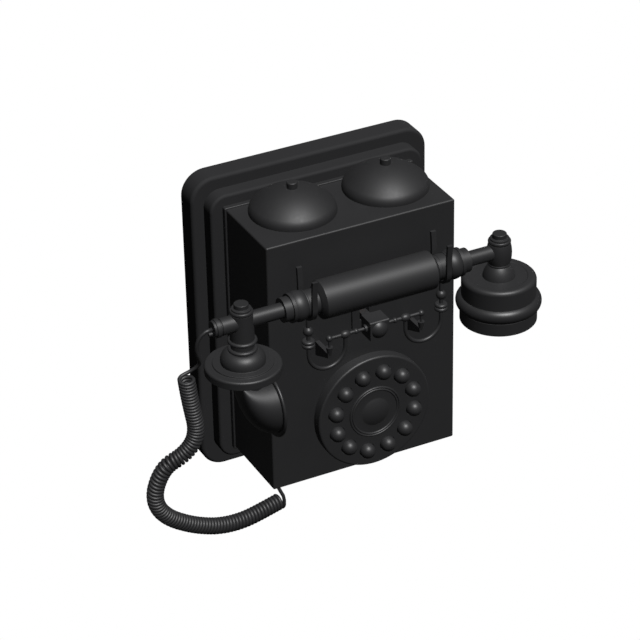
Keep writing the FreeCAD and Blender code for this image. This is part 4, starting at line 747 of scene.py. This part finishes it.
@dataclass
class HandsetCord:
    """The curly cord: a loose loop from the handset, the coil, and a foot into the case's grommet."""

    wire_mm: float = 2.6
    curl_radius_mm: float = 4.75
    turns: float = 86.5
    lead_mm: float = 4.8
    coil_lead_mm: float = 6.5
    length_m: float = 2.66
    axis_steps: int = 24
    turn_points: int = 14
    wire_steps: int = 2
    sides: int = 10
    inlet: Point = (-118.5, -108.3, 58.4)
    grommet: Point = (-62.3, -80.0, -94.7)
    loop: tuple[Point, ...] = (
        (-128.2, -107.2, 53.0),
        (-129.6, -106.1, 45.2),
        (-127.2, -104.6, 37.2),
        (-124.6, -101.7, 30.6),
    )
    axis: tuple[Point, ...] = (
        (-136.0, -103.2, 23.4),
        (-134.2, -101.9, 11.0),
        (-131.2, -100.2, -5.1),
        (-128.4, -98.8, -18.9),
        (-130.3, -97.7, -30.7),
        (-138.5, -96.5, -39.5),
        (-149.5, -95.3, -44.0),
        (-155.8, -94.2, -54.0),
        (-158.8, -93.0, -66.5),
        (-156.4, -91.8, -78.5),
        (-148.6, -90.4, -89.4),
        (-137.5, -89.0, -98.2),
        (-124.5, -87.4, -106.2),
        (-108.5, -85.7, -112.9),
        (-91.0, -84.0, -115.1),
        (-74.5, -81.6, -113.6),
        (-59.8, -78.5, -112.3),
    )

    def curls(self) -> tuple[list[Vector], Vector, Vector]:
        """The helix about the coil's axis.

        Returns:
            The helix points, and the wire's direction at its first and last point.
        """
        line = smooth_line([metres(point) for point in self.axis], self.axis_steps)
        runs = [(after - before).length for before, after in zip(line, line[1:])]
        total = sum(runs)
        radius = self.curl_radius_mm * MM
        climb = total / (2 * math.pi * self.turns * radius)
        count = round(self.turns * self.turn_points)
        points, ways = [], []
        segment, passed = 0, 0.0
        for step in range(count + 1):
            target = total * step / count
            while segment < len(runs) - 1 and passed + runs[segment] < target:
                passed += runs[segment]
                segment += 1
            share = min((target - passed) / runs[segment], 1.0)
            centre = line[segment].lerp(line[segment + 1], share)
            before = line[max(segment - 1, 0)]
            after = line[min(segment + 2, len(line) - 1)]
            way = (after - before).normalized()
            back = (TO_WALL - way * way.dot(TO_WALL)).normalized()
            side = back.cross(way)
            angle = 2 * math.pi * step / self.turn_points
            points.append(centre + (back * math.cos(angle) + side * math.sin(angle)) * radius)
            around = side * math.cos(angle) - back * math.sin(angle)
            ways.append((around + way * climb).normalized())
        return points, ways[0], ways[-1]

    def route(self) -> list[Vector]:
        """The cord's whole route, from the handset to the case.

        Returns:
            Its control points in metres.
        """
        curls, first_way, last_way = self.curls()
        inlet, grommet = metres(self.inlet), metres(self.grommet)
        lead, coil_lead = self.lead_mm * MM, self.coil_lead_mm * MM
        loop = [inlet, inlet - Vector((lead, 0, 0)), *[metres(point) for point in self.loop]]
        loop.append(curls[0] - first_way * coil_lead)
        foot = [curls[-1] + last_way * coil_lead, grommet - Vector((0, 0, lead)), grommet]
        return [*loop, *curls, *foot]

    def build(self) -> None:
        path = smooth_line(self.route(), self.wire_steps)
        mesh = tube(path, self.wire_mm / 2 * MM, self.sides)
        piece = finished(mesh, "handset_cord_curls", BLACK_RUBBER)
        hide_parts("handset_cord")
        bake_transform(piece)
        log.info("%s: %d path points, %d faces", piece.name, len(path), len(mesh.polygons))


@dataclass(frozen=True)
class SoftBox:
    """A square lamp that faces the telephone."""

    name: str
    towards: Point
    distance_m: float
    side_m: float
    watts: float
    shadow: bool = True
    mirrored: bool = True

    def build(self) -> None:
        """Set the lamp up."""
        data = bpy.data.lights.new(self.name, "AREA")
        data.use_shadow = self.shadow
        data.size = self.side_m
        data.energy = self.watts
        lamp = bpy.data.objects.new(self.name, data)
        way = Vector(self.towards).normalized()
        lamp.location = way * self.distance_m
        lamp.rotation_euler = way.to_track_quat("Z", "Y").to_euler()
        lamp.visible_glossy = self.mirrored
        bpy.context.scene.collection.objects.link(lamp)


@dataclass
class Studio:
    """Camera, lamps and the white surroundings."""

    lens_mm: float = 158.515
    sensor_mm: float = 36.0
    clip_m: float = 100.0
    yaw_degrees: float = 26.3756
    pitch_degrees: float = 30.9458
    roll_degrees: float = -1.2032
    eye: Point = (-744.48, -1527.04, 992.6)
    floor_mm: float = -2000.0
    floor_side_mm: float = 40000.0
    # Light that bounces back is kept low, so that faces turned from the lamps stay near black
    floor_colour: str = "#202020"
    world_light: float = 0.005
    # A full white mirror image would lift the satin black far above its colour
    mirrored_white: float = 0.01
    # The key lamp is far off, so that a flat face has one tone all over
    lamps: tuple[SoftBox, ...] = (
        SoftBox(
            "key_softbox", (0.015, -0.48, 0.87),
            distance_m=30.0, side_m=8.0, watts=13000.0, shadow=False,
        ),
        SoftBox(
            "right_fill", (1.0, 0.2, 0.05),
            distance_m=6.0, side_m=2.0, watts=110.0, mirrored=False,
        ),
        SoftBox(
            "back_fill", (0.45, 1.0, 0.05),
            distance_m=6.0, side_m=2.0, watts=240.0, mirrored=False,
        ),
    )

    def camera(self) -> None:
        """The camera at the photograph's angle."""
        angles = (self.yaw_degrees, self.pitch_degrees, self.roll_degrees)
        yaw, pitch, roll = (math.radians(angle) for angle in angles)
        ahead = Vector((math.sin(yaw) * math.cos(pitch), math.cos(yaw) * math.cos(pitch), -math.sin(pitch)))
        level = Vector((math.cos(yaw), -math.sin(yaw), 0))
        above = level.cross(ahead)
        right = level * math.cos(roll) + above * math.sin(roll)
        up = above * math.cos(roll) - level * math.sin(roll)
        data = bpy.data.cameras.new("photo_camera")
        data.lens = self.lens_mm
        data.sensor_width = self.sensor_mm
        data.clip_end = self.clip_m
        camera = bpy.data.objects.new("photo_camera", data)
        turn = Matrix((right, up, -ahead)).transposed().to_4x4()
        camera.matrix_world = Matrix.Translation(metres(self.eye)) @ turn
        bpy.context.scene.collection.objects.link(camera)
        bpy.context.scene.camera = camera

    def pale(
        self, tree: bpy.types.NodeTree, lit: bpy.types.NodeSocket, white: bpy.types.NodeSocket
    ) -> bpy.types.NodeSocket:
        """White where it is looked at, a share of that where it is mirrored, and plain for the light.

        Args:
            tree: The node tree.
            lit: The shader that light meets.
            white: The white shader.

        Returns:
            The mixed shader.
        """
        ray = add(tree, "ShaderNodeLightPath").outputs
        seen = add(tree, "ShaderNodeMath", {
            0: ray["Is Camera Ray"],
            1: ray["Is Transmission Ray"],
        }, operation="MAXIMUM")
        mirrored = add(tree, "ShaderNodeMath", {
            0: ray["Is Glossy Ray"],
            1: self.mirrored_white,
        }, operation="MULTIPLY")
        share = add(tree, "ShaderNodeMath", {
            0: seen.outputs[0],
            1: mirrored.outputs[0],
        }, operation="MAXIMUM")
        return add(tree, "ShaderNodeMixShader", {0: share.outputs[0], 1: lit, 2: white}).outputs[0]

    def sky(self) -> None:
        """A white world that gives little light of its own."""
        world = bpy.data.worlds.new("white_studio")
        world.use_nodes = True
        bpy.context.scene.world = world
        tree = world.node_tree
        dim = add(tree, "ShaderNodeBackground", {"Color": linear(WHITE), "Strength": self.world_light})
        white = add(tree, "ShaderNodeBackground", {"Color": linear(WHITE), "Strength": 1.0})
        shown = self.pale(tree, dim.outputs[0], white.outputs[0])
        tree.links.new(shown, tree.nodes["World Output"].inputs["Surface"])

    def floor(self) -> None:
        """A plain floor far below, white to the camera."""
        half = self.floor_side_mm / 2
        corners = [(-half, -half), (half, -half), (half, half), (-half, half)]
        mesh = bpy.data.meshes.new("studio_floor")
        mesh.from_pydata([metres((x, y, self.floor_mm)) for x, y in corners], [], [(0, 1, 2, 3)])
        paint = bpy.data.materials.new("pale_studio_floor")
        paint.use_nodes = True
        tree = paint.node_tree
        matt = add(tree, "ShaderNodeBsdfDiffuse", {"Color": linear(self.floor_colour)})
        white = add(tree, "ShaderNodeEmission", {"Color": linear(WHITE), "Strength": 1.0})
        shown = self.pale(tree, matt.outputs[0], white.outputs[0])
        tree.links.new(shown, tree.nodes["Material Output"].inputs["Surface"])
        mesh.materials.append(paint)
        floor = bpy.data.objects.new("studio_floor", mesh)
        bpy.context.scene.collection.objects.link(floor)

    def build(self) -> None:
        """Set up the view, the lamps and the surroundings."""
        self.camera()
        for lamp in self.lamps:
            lamp.build()
        self.sky()
        self.floor()
        bpy.context.scene.view_settings.view_transform = "Standard"


def main() -> None:
    """Build the studio, the cord and every sub-assembly."""
    logging.basicConfig(level=logging.INFO, format="%(name)s %(message)s")
    for part in (Studio(), WallParts(), Case(), Dial(), Ringer(), Cradle(), Handset(), HandsetCord()):
        log.info("building %s", type(part).__name__)
        part.build()


if __name__ == "__main__":
    main()
